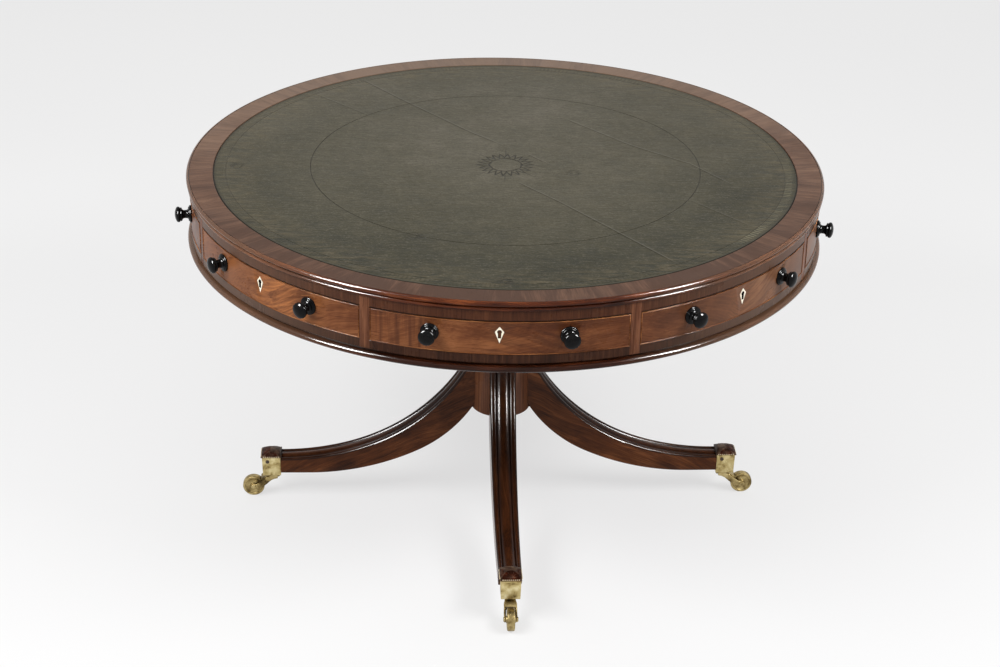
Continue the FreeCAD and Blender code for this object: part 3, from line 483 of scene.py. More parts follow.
def rail_wood(name, colours, pale, gap_shade_level=None):
    # A painted shade line runs just above a gap level, where the fronts meet the rail.
    finish = mahogany(name, upright_grain, colours, streaks=(8.0, 140.0, 40.0), mottle=11.0)
    # Painted sheen pales the drum's sides.
    painted_sheen_sides(finish, 0.55, pale)
    if gap_shade_level is not None:
        above = finish.minus(finish.split(finish.object_place())[2], gap_shade_level)
        # Painted shade: a dark line just above the gap
        finish.tinge(finish.fade(above, 0.0020, 0.0010, 0.0, 0.75), tint(18, 9, 6))
    return finish.material


def stile_wood():
    colours = (tint(54, 29, 18), tint(88, 52, 34), tint(118, 76, 52))
    return mahogany("stile_wood", upright_grain, colours, streaks=(4.0, 90.0, 60.0), mottle=10.0).material


def front_wood():
    finish = Finish("front_wood", coat=0.04, coat_roughness=0.14, specular=0.08)
    place = finish.attribute("grain")
    colours = (tint(74, 39, 21), tint(99, 57, 32), tint(128, 80, 48))
    colour, blend = wood(finish, place, colours, streaks=(5.0, 26.0, 26.0), mottle=8.0, warp=0.07,
                         tone=finish.attribute("tone", "Fac"))
    stripes = finish.noise(finish.stretched(place, (34.0, 7.0, 7.0), (0.0, 0.0, 0.5)), 1.0, 2.0, 0.5, 0.3)
    stripes = finish.fade(stripes, 0.4, 0.62, 0.0, 0.4)
    colour = finish.mix(stripes, colour, (0.6, 0.52, 0.46, 1.0), "MULTIPLY")
    drum, angle, radius = finish.round_drum()
    azimuth = finish.math("DEGREES", angle)
    level = finish.minus(finish.split(drum)[2], front_middle)
    for middle, spread, rise, strength, shade in flames:
        off = finish.math("DIVIDE", finish.minus(azimuth, middle), spread)
        curve = finish.times(finish.math("TANH", off), rise)
        across = finish.times(finish.minus(level, curve), 95.0)
        streaks = finish.noise(finish.placed(finish.times(off, 0.9), across, middle), 1.0, 3.0, 0.6, 0.5)
        inside = finish.between(azimuth, middle - 1.5 * spread, middle + 1.3 * spread, 0.5 * spread)
        colour = finish.stain(colour, finish.fade(streaks, 0.44, 0.66, 0.0, strength), inside, shade)
    for middle, half in ribbons:
        along = finish.placed(finish.times(azimuth, 1.1), finish.times(level, 5.0), middle)
        bars = finish.fade(finish.noise(along, 1.0, 2.0, 0.6), 0.42, 0.58)
        inside = finish.between(azimuth, middle - half, middle + half, 1.2)
        colour = finish.stain(colour, finish.times(bars, inside), 0.6, tint(58, 30, 20))
    finish.give("Base Color", colour)
    # Painted sheen: the fronts round azimuth 110 are greyed towards a pale colour.
    painted_sheen_share = 0.32
    away = finish.away_from(front_sheen_azimuth, 15.0, 45.0, painted_sheen_share)
    finish.tinge(finish.minus(painted_sheen_share, away), tint(112, 90, 74))
    polished(finish, 0.24, 0.38, blend)
    return finish.material


def bead_wood():
    colours = (tint(56, 28, 14), tint(114, 68, 38), tint(168, 114, 70))
    return mahogany("bead_wood", round_grain, colours, gloss=(0.2, 0.3), coat=0.03, specular=0.06,
                    mottle=16.0).material


def base_wood():
    finish = Finish("base_wood", coat=0.08, coat_roughness=0.1, specular=0.06)
    colours = (tint(44, 21, 10), tint(82, 45, 23), tint(116, 70, 40))
    colour, blend = wood(finish, finish.attribute("grain"), colours, streaks=(4.0, 34.0, 34.0), mottle=9.0,
                         warp=0.03)
    finish.give("Base Color", finish.mix(finish.attribute("reed", "Fac"), colour, tint(24, 10, 6)))
    polished(finish, 0.14, 0.26, blend)
    return finish.material


def column_wood():
    colours = (tint(54, 29, 18), tint(103, 63, 42), tint(137, 92, 65))
    return mahogany("column_wood", upright_grain, colours, streaks=(3.0, 60.0, 60.0), mottle=9.0).material


def carved_wood():
    finish = Finish("carved_wood", specular=0.1)
    place = finish.object_place()
    punched = finish.node("TexVoronoi", {"Vector": place, "Scale": 620.0}).outputs["Distance"]
    patches = finish.noise(place, 90.0, 3.0)
    # Painted sheen: the hatched cushion is paler and greyer than the arches.
    sheened_hatching = finish.ramp(patches, [(0.3, tint(38, 26, 20)), (0.5, tint(72, 54, 43)),
                                    (0.72, tint(116, 97, 82))])
    sheened_hatching = finish.mix(finish.fade(punched, 0.30, 0.08, 0.0, 0.7), sheened_hatching, tint(16, 10, 8))
    # Painted shade: the sunk arches are darker.
    arch_shade_colour = finish.ramp(patches, [(0.3, tint(22, 8, 4)), (0.55, tint(52, 20, 9)), (0.75, tint(84, 38, 18))])
    colour = finish.mix(finish.attribute("painted_arch_shade", "Fac"), sheened_hatching, arch_shade_colour)
    # Painted highlight: the beads are pale.
    finish.give("Base Color", finish.mix(finish.attribute("painted_bead_highlight", "Fac"), colour, tint(206, 188, 156)))
    finish.bump(finish.plus(punched, patches), 0.5, 0.0004)
    finish.give("Roughness", finish.fade(patches, 0.3, 0.7, 0.28, 0.5))
    return finish.material


def plain_wood(name, colours, roughness):
    # Unpolished boards inside; the grain runs along the longer level side, round the drum's axis.
    finish = Finish(name, roughness=roughness)
    colour, blend = wood(finish, finish.object_place(), colours, streaks=(6.0, 6.0, 60.0),
                         fibres=(60.0, 60.0, 700.0), pores=0.3, mottle=7.0)
    finish.give("Base Color", colour)
    finish.give("Roughness", finish.fade(blend, 0.3, 0.7, roughness - 0.08, roughness + 0.08))
    return finish.material


def ebonised():
    finish = Finish("ebonised_wood", coat=0.08, coat_roughness=0.06, specular=0.07)
    place = finish.object_place()
    wear = finish.noise(place, 140.0, 4.0, 0.6)
    finish.give("Base Color", finish.ramp(wear, [(0.4, tint(6, 6, 7)), (0.62, tint(11, 10, 10)),
                                                 (0.8, tint(26, 20, 17))]))
    finish.give("Roughness", finish.fade(wear, 0.3, 0.7, 0.08, 0.18))
    finish.bump(wear, 0.05, 0.0001)
    return finish.material


def bone():
    finish = Finish("bone", roughness=0.35)
    place = finish.object_place()
    streaks = finish.noise(finish.stretched(place, (900.0, 900.0, 60.0)), 1.0, 3.0)
    finish.give("Base Color", finish.ramp(streaks, [(0.3, tint(196, 184, 156)), (0.5, tint(232, 224, 204)),
                                                    (0.7, tint(246, 240, 226))]))
    finish.give("Roughness", finish.fade(streaks, 0.3, 0.7, 0.28, 0.42))
    finish.bump(streaks, 0.1, 0.00005)
    return finish.material


def brass(name, darkest, dark, light, lightest, spot_share):
    finish = Finish(name, metallic=1.0)
    place = finish.object_place()
    stains = finish.noise(place, 60.0, 4.0, 0.55, 0.4)
    scratches = finish.noise(finish.stretched(place, (240.0, 240.0, 1600.0), (0.6, 0.3, 0.2)), 1.0, 2.0)
    pits = finish.node("TexVoronoi", {"Vector": place, "Scale": 260.0}).outputs["Distance"]
    colour = finish.ramp(stains, [(0.30, darkest), (0.43, dark), (0.6, light), (0.8, lightest)])
    spots = finish.fade(pits, 0.12, 0.04, 0.0, spot_share)
    colour = finish.mix(spots, colour, tint(70, 52, 26))
    finish.give("Base Color", colour)
    dulled = finish.blended((stains, 1.0), (scratches, 0.25))
    finish.give("Roughness", finish.fade(dulled, 0.4, 0.95, 0.48, 0.3))
    finish.bump(finish.blended((scratches, 1.0), (stains, 0.6)), 0.12, 0.0002)
    return finish.material


def dark_metal(name, dark, light, scale, low, high):
    finish = Finish(name, metallic=0.9)
    patches = finish.noise(finish.object_place(), scale, 5.0, 0.65)
    finish.give("Base Color", finish.ramp(patches, [(0.35, dark), (0.65, light)]))
    finish.give("Roughness", finish.fade(patches, 0.3, 0.7, low, high))
    finish.bump(patches, 0.25, 0.0002)
    return finish.material


# Curved figure of the fronts: middle azimuth, spread and rise, strength and colour
flames = ((6.5, 5.0, 0.034, 0.75, tint(176, 112, 64)), (52.0, 7.0, -0.030, 0.55, tint(52, 28, 18)),
          (97.0, 4.5, 0.030, 0.45, tint(160, 110, 72)), (131.0, 6.0, 0.026, 0.5, tint(60, 32, 20)),
          (-172.0, 6.0, -0.03, 0.6, tint(168, 106, 62)), (-130.0, 7.0, 0.03, 0.5, tint(56, 30, 18)),
          (-84.0, 5.0, 0.034, 0.6, tint(170, 108, 62)), (-50.0, 6.0, 0.024, 0.4, tint(56, 30, 18)))
# Upright bars at a front's end: middle azimuth and half width
ribbons = ((28.5, 4.5), (-61.0, 4.0), (120.0, 3.5))
# Azimuth round which the fronts get a painted sheen
front_sheen_azimuth = 110.0

# Tooled lines of the leather, radii
tooled_circle = 0.374
border_inner = 0.535
border_outer = 0.550
star_ring = 0.031
star_petals = 0.049
star_rays = 0.088
petal_waves = 7.0
ray_waves = 4.0
border_ticks_round = 420.0
pale_border_azimuth = 115
# Small sprigs: distance from the middle and azimuth
fleurons = ((0.375, 21.0), (0.523, 46.0), (0.135, 121.0), (0.514, 319.0))

# The turn that the hide's wrinkles lie along
hide_turn = (0.0, 0.0, math.radians(-45.4))
sprig_turn = (0.0, 0.0, math.radians(-60))
# Widths of the painted shade band and the painted shadow line at the leather's edge
edge_shade_width = 0.0085
edge_shadow_width = 0.0030


def line_at(finish, radius, at, width):
    # 1 on the line and 0 away from it
    off = finish.math("ABSOLUTE", finish.minus(radius, at))
    return finish.fade(off, width, width * 0.3)


def far_side_sheen(finish):
    # From -1 at the top's side near azimuth 45 to 1 at the side behind it, which is painted lighter as sheen
    x, y, z = finish.split(finish.object_place())
    across = finish.minus(finish.times(y, 0.85), finish.times(x, 1.15))
    return finish.fade(across, -0.8, 0.8, -1.0, 1.0)


def hide_colour_with_sheen(finish, place, radius, slow, blots, patches, wrinkles):
    # The leather's colour before its edge and its tooling, with a painted sheen lightening the side away from
    # azimuth 45
    strands = finish.noise(finish.stretched(place, (90.0, 300.0, 90.0), hide_turn), 1.0, 3.0, 0.6, 0.3)
    threads = finish.blended((strands, 0.5), (finish.noise(place, 240.0, 3.0, 0.7), 0.5))
    # The last share paints the side away from azimuth 45 lighter, a painted sheen.
    worn = finish.blended((slow, 0.34), (blots, 0.36), (patches, 0.20), (wrinkles, 0.10),
                          (far_side_sheen(finish), 0.15))
    worn = finish.plus(worn, finish.fade(radius, 0.12, 0.56, 0.06, -0.08))
    colour = finish.ramp(worn, [(0.26, tint(41, 40, 29)), (0.41, tint(60, 57, 44)), (0.56, tint(75, 71, 58)),
                                (0.70, tint(93, 88, 77)), (0.86, tint(113, 107, 96))])
    colour = finish.mix(finish.fade(threads, 0.49, 0.38, 0.0, 0.45), colour, tint(40, 38, 30))
    colour = finish.mix(finish.fade(threads, 0.52, 0.63, 0.0, 0.28), colour, tint(116, 111, 98))
    near_border = finish.fade(radius, border_inner - 0.07, border_inner - 0.01)
    return finish.stain(colour, near_border, finish.fade(wrinkles, 0.44, 0.66, 0.0, 0.34), tint(110, 99, 78))


def hide_edge(finish, radius, colour):
    # The border is darker outside its ticks. Shade is painted where the leather is cut and turned down: a
    # dark band, and a darker line at the very edge.
    outside = finish.fade(radius, border_outer - 0.004, border_outer + 0.004)
    colour = finish.stain(colour, outside, 0.25, tint(62, 60, 46))
    # Painted shade along the dropped edge
    painted_edge_shade = finish.fade(radius, leather_radius - edge_shade_width, leather_radius - edge_shadow_width / 2)
    colour = finish.stain(colour, painted_edge_shade, 0.55, tint(34, 32, 22))
    # Painted shadow line at the very edge
    painted_edge_shadow = finish.fade(radius, leather_radius - edge_shadow_width, leather_radius - 0.4 * edge_shadow_width)
    return finish.stain(colour, painted_edge_shadow, 0.85, tint(18, 16, 12))


def leather():
    finish = Finish("green_leather", specular=0.1)
    drum, angle, radius = finish.round_drum()
    place = finish.object_place()
    slow = finish.noise(place, 3.2, 4.0, 0.6)
    blots = finish.noise(place, 17.0, 5.0, 0.68)
    patches = finish.noise(finish.stretched(place, (26.0, 60.0, 26.0), hide_turn), 1.0, 5.0, 0.7, 0.8)
    wrinkles = finish.noise(finish.stretched(place, (22.0, 110.0, 22.0), hide_turn), 1.0, 5.0, 0.65, 0.5)
    pebbles = finish.node("TexVoronoi", {"Vector": place, "Scale": 520.0}).outputs["Distance"]
    colour = hide_edge(finish, radius, hide_colour_with_sheen(finish, place, radius, slow, blots, patches, wrinkles))
    faint = finish.times(line_at(finish, radius, border_inner, 0.0014), 0.4)
    lines = finish.larger(line_at(finish, radius, tooled_circle, 0.0012), faint)
    wear_and_sheen = finish.times(finish.fade(blots, 0.36, 0.56, 0.6, 1.0), 0.9)
    colour = finish.stain(colour, lines, wear_and_sheen, tint(32, 29, 22))
    stamps = finish.larger(star_lines(finish, place, radius, angle), fleuron_marks(finish, place))
    colour = finish.stain(colour, stamps, 0.8, tint(24, 22, 16))
    ticks, pale = border_ticks(finish, angle, radius, blots)
    colour = finish.mix(ticks, colour, finish.mix(pale, tint(40, 37, 26), tint(138, 134, 112)))
    # Painted highlight on each crease's ridge, and painted shade beside it on the other side
    colour = finish.stain(colour, finish.attribute("painted_crease_highlight", "Fac"), 0.2, tint(134, 130, 118))
    colour = finish.stain(colour, finish.attribute("painted_crease_shade", "Fac"), 0.6, tint(34, 31, 25))
    finish.give("Base Color", colour)
    finish.give("Roughness", finish.fade(finish.plus(blots, wrinkles), 0.7, 1.3, 0.40, 0.56))
    height = finish.blended((pebbles, 0.25), (wrinkles, 0.9), (blots, 0.7),
                            (finish.larger(lines, stamps), -0.8))
    finish.bump(height, 0.5, 0.0014)
    return finish.material


def star_lines(finish, place, radius, angle):
    # A tooled sun, unevenly struck: its ring, short petals outside it and eight longer rays
    shaken = finish.times(finish.minus(finish.noise(place, 120.0, 3.0), 0.5), 0.010)
    radius = finish.plus(radius, shaken)
    petal = finish.math("PINGPONG", finish.times(angle, petal_waves), 1.0)
    reach = finish.plus(finish.times(petal, star_petals - star_ring), star_ring + 0.004)
    petals = line_at(finish, finish.minus(radius, reach), 0.0, 0.0062)
    petals = finish.larger(petals, line_at(finish, radius, star_ring, 0.0022))
    spoke = finish.math("ABSOLUTE", finish.math("SINE", finish.times(angle, ray_waves)))
    near = finish.fade(finish.times(spoke, radius), 0.0050, 0.0012)
    short_of_tip = finish.fade(radius, star_rays, star_rays - 0.02)
    past_petals = finish.fade(radius, star_petals, star_petals + 0.003)
    rays = finish.times(near, finish.times(short_of_tip, past_petals))
    return finish.larger(petals, finish.times(rays, 0.8))


def fleuron_marks(finish, place):
    # Small sprigs stamped off the rings
    marks = 0.0
    for out, azimuth in fleurons:
        a = math.radians(azimuth)
        middle = (out * math.sin(a), -out * math.cos(a), leather_level)
        off = finish.vector_math("DISTANCE", {0: place, 1: middle}, "Value")
        marks = finish.larger(marks, finish.fade(off, 0.018, 0.010))
    strokes = finish.noise(finish.stretched(place, (90.0, 240.0, 90.0), sprig_turn), 1.0, 3.0)
    return finish.times(marks, finish.fade(strokes, 0.53, 0.46, 0.0, 0.7))


def border_ticks(finish, angle, radius, blots):
    # The border roll's comb of short ticks, and where it is pale instead of dark
    comb = finish.fade(finish.math("SINE", finish.times(angle, border_ticks_round)), 0.1, 0.8)
    past_inner = finish.fade(radius, border_inner, border_inner + 0.002)
    short_of_outer = finish.fade(radius, border_outer, border_outer - 0.002)
    band = finish.times(past_inner, short_of_outer)
    left = finish.fade(blots, 0.42, 0.62, 0.08, 0.5)
    off = finish.math("ABSOLUTE", finish.minus(angle, math.radians(pale_border_azimuth)))
    return finish.times(finish.times(comb, band), left), finish.fade(off, 0.45, 0.25)


# Round top
upper_reed_depth = 0.0044
reed_quirk_height = 0.0016
reed_quirk_depth = 0.0056
lower_reed_height = 0.0070
lower_reed_depth = 0.0032
lower_reed_setback = 0.0018
inlay_gap = 0.0003
inlay_level = leather_foot
rim_steps = 360


def top_edge(material):
    upper_inner = top_radius - upper_reed_depth
    lower_inner = top_radius - lower_reed_setback - lower_reed_depth
    quirk_radius = top_radius - reed_quirk_depth
    lower_top = top_under + lower_reed_height
    upper_low = lower_top + reed_quirk_height
    inlay_radius = upper_inner - inlay_gap
    outline = [(0, top_under)] + half_round(lower_inner, lower_reed_depth, top_under, lower_top)
    outline += [(quirk_radius, lower_top), (quirk_radius, upper_low)]
    outline += half_round(upper_inner, upper_reed_depth, upper_low, top_level, 13)
    outline += [(inlay_radius, top_level), (inlay_radius, inlay_level), (0, inlay_level)]
    add_piece("top_board_edge", turned(outline, rim_steps), "drum", "edge_mahogany", material, ["top_board"])


crossband_count = 24
crossband_round = 0.00025
crossband_start = 4.0
crossband_joint = 0.004


def crossbanding(material):
    inner = leather_radius + 3 * inlay_gap
    outer = top_radius - upper_reed_depth - 5 * inlay_gap
    weights = [shades.uniform(0.75, 1.25) for _ in range(crossband_count)]
    share = 360.0 / sum(weights)
    azimuth = crossband_start
    parts, tones = [], []
    for weight in weights:
        half = weight * share / 2
        outline = [(inner, inlay_level), (outer, inlay_level), (outer, top_level - crossband_round),
                   (outer - crossband_round, top_level), (inner + crossband_round, top_level),
                   (inner, top_level - crossband_round)]
        parts.append(sector(outline, azimuth + half, half - crossband_joint, 20))
        tones.append((azimuth + half, half, shades.uniform(-0.5, 0.5), shades.uniform(-0.12, 0.12)))
        azimuth += 2 * half

    def segment(co):
        at = math.degrees(math.atan2(co.x, -co.y))
        for number, (middle, half, tone, slant) in enumerate(tones):
            off = (at - middle + 180) % 360 - 180
            if abs(off) <= half + 0.001:
                return number, off, tone, slant
        return 0, 0.0, 0.0, 0.0

    def grain(co):
        # The grain runs out from the middle, and each segment is cut from its own place in the flitch.
        number, off, tone, slant = segment(co)
        radius = math.hypot(co.x, co.y)
        across = math.radians(off) * radius
        return (radius + across * slant, across - radius * slant + number * 0.37, co.z + number * 0.9)

    add_piece("crossbanding", joined(parts), "drum", "crossband_mahogany", material, ["top_crossbanding"],
              grain=grain, values={"tone": lambda co: segment(co)[2]})


# Ridges where the boards under the leather have moved: height and points on the top
creases = (
    (0.00055, ((-0.545, 0.102), (-0.394, 0.085), (-0.171, 0.067), (-0.071, 0.067))),
    (0.00060, ((0.075, -0.042), (0.197, -0.050), (0.346, -0.067), (0.530, -0.090))),
    (0.00045, ((-0.095, 0.261), (0.089, 0.256), (0.234, 0.272), (0.364, 0.253))),
    (0.00040, ((-0.019, 0.071), (0.077, 0.064))),
    (0.00035, ((0.352, 0.139), (0.515, 0.132))),
    (0.00035, ((-0.540, -0.027), (-0.354, -0.024))),
)
crease_width = 0.0022
crease_cuts = (-0.006, -0.0036, -0.0022, -0.0014, -0.0007, 0.0, 0.0007, 0.0014, 0.0022, 0.0036, 0.006)
crease_fade = 0.045
crease_full = 0.0006
crease_reach = 0.014


def chain_place(co, points):
    # For a place beside a chain of points: its distance from the chain, how far along the chain it lies, the
    # chain's length, and 1 where it lies on the side that faces azimuth 45 or else -1
    best, along, gone, side = 1.0, 0.0, 0.0, 1.0
    for a, b in zip(points, points[1:]):
        start, run = Vector(a), Vector(b) - Vector(a)
        length = run.length
        share = max(0.0, min(1.0, (co.xy - start).dot(run) / (length * length)))
        off = co.xy - start - run * share
        if off.length < best:
            best, along, side = off.length, gone + share * length, math.copysign(1.0, off.x - off.y)
        gone += length
    return best, along, gone, side


def crease_parts(co, middle, width):
    # Share of a crease's full height at a place, taken a little beside its ridge
    share = 0.0
    for rise, points in creases:
        off, along, length, side = chain_place(co, points)
        if off < 4 * crease_width:
            ends = min(1.0, 3 * along / crease_fade, (length - along) / crease_fade)
            beside = off * side - middle
            share = max(share, rise / crease_full * max(0.0, ends) * math.exp(-(beside / width) ** 2))
    return min(1.0, share)


def leather_outline():
    groove = 0.0003
    edge_drop = 0.0011
    ring_pitch = 0.0088
    ring_count = 60
    lines = ((tooled_circle, 0.0009), (star_ring, 0.0009), (border_inner, 0.0007), (border_outer, 0.0007))
    radii = [k * ring_pitch for k in range(1, ring_count + 1)]
    for line, width in lines:
        radii = [r for r in radii if abs(r - line) > 2.2 * width]
        radii += [line + share * width for share in (-1.6, -0.7, 0.0, 0.7, 1.6)]
    outline = [(0.0, leather_level)]
    for r in sorted(radii):
        low = any(abs(r - line) < 1e-6 for line, width in lines)
        outline.append((r, leather_level - (groove if low else 0.0)))
    outline += arc_points((leather_radius - 0.0035, leather_level),
                          (leather_radius - 0.0009, leather_level - 0.0003),
                          (leather_radius, leather_level - edge_drop), 6)
    return outline + [(leather_radius, leather_foot), (0.0, leather_foot)]


def leather_top(material):
    bm = turned(leather_outline(), rim_steps)
    for rise, points in creases:
        for a, b in zip(points, points[1:]):
            across = Vector((a[1] - b[1], b[0] - a[0], 0)).normalized()
            faces = [f for f in bm.faces
                     if f.calc_center_median().z > leather_foot + 0.001
                     and chain_place(f.calc_center_median(), (a, b))[0] < crease_reach]
            for cut in crease_cuts:
                near = list({v for f in faces for v in f.verts}) + list({e for f in faces for e in f.edges})
                plane = Vector((a[0], a[1], 0)) + across * cut
                made = bmesh.ops.bisect_plane(bm, geom=near + faces, dist=1e-5, plane_co=plane,
                                              plane_no=across)
                faces = [f for f in made["geom"] if isinstance(f, bmesh.types.BMFace)]
    for v in bm.verts:
        if v.co.z > leather_level - 0.0008:
            v.co.z += crease_full * crease_parts(v.co, 0.0, crease_width)

    # Masks for the painted highlight and the painted shade of the creases
    def part(middle, width):
        return lambda co: crease_parts(co, middle, width) if co.z > leather_foot + 0.0005 else 0.0

    add_piece("leather_top", bm, "drum", "green_leather", material, ["leather_inset"], sharp=50,
              values={"painted_crease_highlight": part(-0.0008, 0.0012), "painted_crease_shade": part(0.0012, 0.0012)})


# Frieze: rails, stiles and fronts
edge_round = 0.0004
front_low = opening_bottom + 0.0005
front_high = opening_top - 0.0013
front_middle = (front_low + front_high) / 2
floor_bore = 0.0131


def frieze_outline(inner, outer, low, high):
    r = edge_round
    return [(inner, low), (outer - r, low), (outer, low + r),
            (outer, high - r), (outer - r, high), (inner, high)]


def bay_of(co):
    azimuth = math.degrees(math.atan2(co.x, -co.y)) % 360
    number = round(azimuth / bay_pitch) % 8
    return number, (azimuth - number * bay_pitch + 180) % 360 - 180


def frieze(rail_finish, low_rail_finish, stile_finish):
    for name, low, high, finish in (("top_rails", opening_top, top_under, rail_finish),
                                    ("bottom_rails", rail_bottom, opening_bottom, low_rail_finish)):
        outline = frieze_outline(rail_inner_radius, frieze_radius, low, high)
        rails = [sector(outline, k * bay_pitch, bay_half_angle(k % 2), 32) for k in range(8)]
        add_piece("frieze_" + name, joined(rails), "drum", "frieze_mahogany", finish, [name])
    outline = frieze_outline(rail_inner_radius, frieze_radius, rail_bottom, top_under)
    half = (drawer_side_angle + sham_side_angle) / 2
    middle = bay_half_angle(True) + half
    stiles = [sector(outline, a + side * middle, half, 3) for a in sham_azimuths for side in (-1, 1)]
    for bm in stiles:
        bevel_sharp(bm, edge_round)
    add_piece("frieze_uprights", joined(stiles), "drum", "frieze_mahogany", stile_finish, ["frieze_stiles"])
    outline = [(floor_bore, drum_bottom), (base_board_radius, drum_bottom), (base_board_radius, rail_bottom),
               (floor_bore, rail_bottom)]
    add_piece("drum_floor", turned(outline, rim_steps, True), "drum", "frieze_mahogany", low_rail_finish,
              ["drum_base_board"])


# How each bay's veneer lies: its slope, its place in the flitch and its tone
front_figures = {1: (0.10, 0.0, 0.02), 0: (0.32, 1.7, 0.12), 2: (-0.12, 3.1, -0.05), 3: (0.22, 4.4, 0.0),
                 4: (-0.25, 5.9, 0.03), 5: (0.05, 7.3, -0.02), 6: (0.3, 8.8, 0.02), 7: (-0.15, 10.1, 0.0)}


def front_grain(co):
    number, off = bay_of(co)
    slope, start, tone = front_figures[number]
    length = math.radians(off) * frieze_radius
    up = co.z - front_middle
    return (length * math.cos(slope) + up * math.sin(slope) + start,
            up * math.cos(slope) - length * math.sin(slope), math.hypot(co.x, co.y) + start)


def front_tone(co):
    # The sham front at azimuth 45 darkens along its length.
    number, off = bay_of(co)
    return front_figures[number][2] - (0.0035 * off if number == 1 else 0.0)


bead_width = 0.0017
bead_sunk = 0.0010
bead_proud = 0.0010
bead_round = bead_width * 0.42
bead_cuts = 40


def cock_bead(middle_azimuth):
    # A flat mitred frame with a rounded top, bent round the drum
    width = 2 * math.radians(front_half_angle(middle_azimuth in sham_azimuths)) * frieze_radius
    height = front_high - front_low
    bm = bmesh.new()
    bmesh.ops.create_grid(bm, x_segments=1, y_segments=1, size=0.5)
    bmesh.ops.scale(bm, vec=(width, height, 1), verts=bm.verts[:])
    middle = bm.faces[:]
    bmesh.ops.inset_region(bm, faces=middle, thickness=bead_width, use_even_offset=True, use_boundary=True)
    bmesh.ops.delete(bm, geom=middle, context="FACES")
    bmesh.ops.solidify(bm, geom=bm.faces[:], thickness=bead_sunk + bead_proud)
    bmesh.ops.recalc_face_normals(bm, faces=bm.faces[:])
    high = max(v.co.z for v in bm.verts)
    tops = [e for e in bm.edges if all(abs(v.co.z - high) < 1e-6 for v in e.verts)
            and e.calc_face_angle(0) > math.radians(45)]
    bmesh.ops.bevel(bm, geom=tops, offset=bead_round, offset_type="OFFSET", segments=3, profile=0.5,
                    affect="EDGES", material=-1)
    for k in range(1, bead_cuts):
        across = (k / bead_cuts - 0.5) * width
        bmesh.ops.bisect_plane(bm, geom=bm.verts[:] + bm.edges[:] + bm.faces[:], dist=1e-6,
                               plane_co=(across, 0, 0), plane_no=(1, 0, 0))
    high = max(v.co.z for v in bm.verts)
    for v in bm.verts:
        azimuth = math.radians(middle_azimuth) + v.co.x / frieze_radius
        radius = frieze_radius + bead_proud + v.co.z - high
        v.co = Vector((radius * math.sin(azimuth), -radius * math.cos(azimuth), v.co.y + front_middle))
    return bm


# Knobs, from the front's face outwards
knob_angle = 11.4
knob_level = 0.66375
knob_steps = 48


def knob(azimuth):
    # A wide flange with a ring on it, a hollow neck, and a ringed head with a nearly flat face
    neck = 0.0078
    outline = [(0, -0.004), (0.0146, -0.004)]
    outline += arc_points((0.0156, 0.0), (0.0166, 0.0018), (0.0154, 0.0036), 8)
    outline += arc_points((0.0140, 0.0040), (0.0134, 0.0052), (0.0118, 0.0056), 6)
    outline += arc_points((0.0106, 0.0058), (0.0088, 0.0070), (neck, 0.0100), 6)
    outline += arc_points((neck, 0.0140), (0.0088, 0.0158), (0.0112, 0.0172), 6)
    outline += arc_points((0.0119, 0.0176), (0.0132, 0.0188), (0.0126, 0.0202), 6)
    outline += arc_points((0.0126, 0.0208), (0.0149, 0.0238), (0.0138, 0.0272), 9)
    outline += arc_points((0.0126, 0.0281), (0.0070, 0.0303), (0.0, 0.0311), 9)
    bm = turned(outline, knob_steps)
    lay = Matrix.Rotation(math.radians(90), 4, "Y")
    place = Matrix.Translation((frieze_radius, 0, knob_level))
    bmesh.ops.transform(bm, matrix=leg_turn(azimuth) @ place @ lay, verts=bm.verts[:])
    return bm


keyhole_drop = 0.00992
keyhole_level = round(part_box("drawer_1_escutcheon")[1].z, 4) - keyhole_drop
keyhole_eye = 0.0032
keyhole_slot = (0.0020, 0.0110)


def keyhole_outline(grow):
    eye, half, length = keyhole_eye + grow, keyhole_slot[0] + grow, keyhole_slot[1] + grow
    start = math.asin(half / eye)
    points = [(eye * math.sin(a), eye * -math.cos(a))
              for a in (start + (full_turn - 2 * start) * k / 20 for k in range(21))]
    return points + [(-half, -length), (half, -length)]


def keyhole_shade_plug(azimuth):
    # A black plug with a floor, set in the keyhole as painted shade for the dark inside of the hole
    face, floor, back = 0.00036, -0.0030, -0.0034
    wide, narrow = 0.0008, -0.00004
    bm = bmesh.new()
    rings = []
    for grow, out in ((wide, back), (wide, face), (narrow, face), (narrow, floor)):
        rings.append([bm.verts.new((frieze_radius + out, x, keyhole_level + z))
                      for x, z in keyhole_outline(grow)])
    join_rings(bm, rings)
    bmesh.ops.transform(bm, matrix=leg_turn(azimuth), verts=bm.verts[:])
    return bm


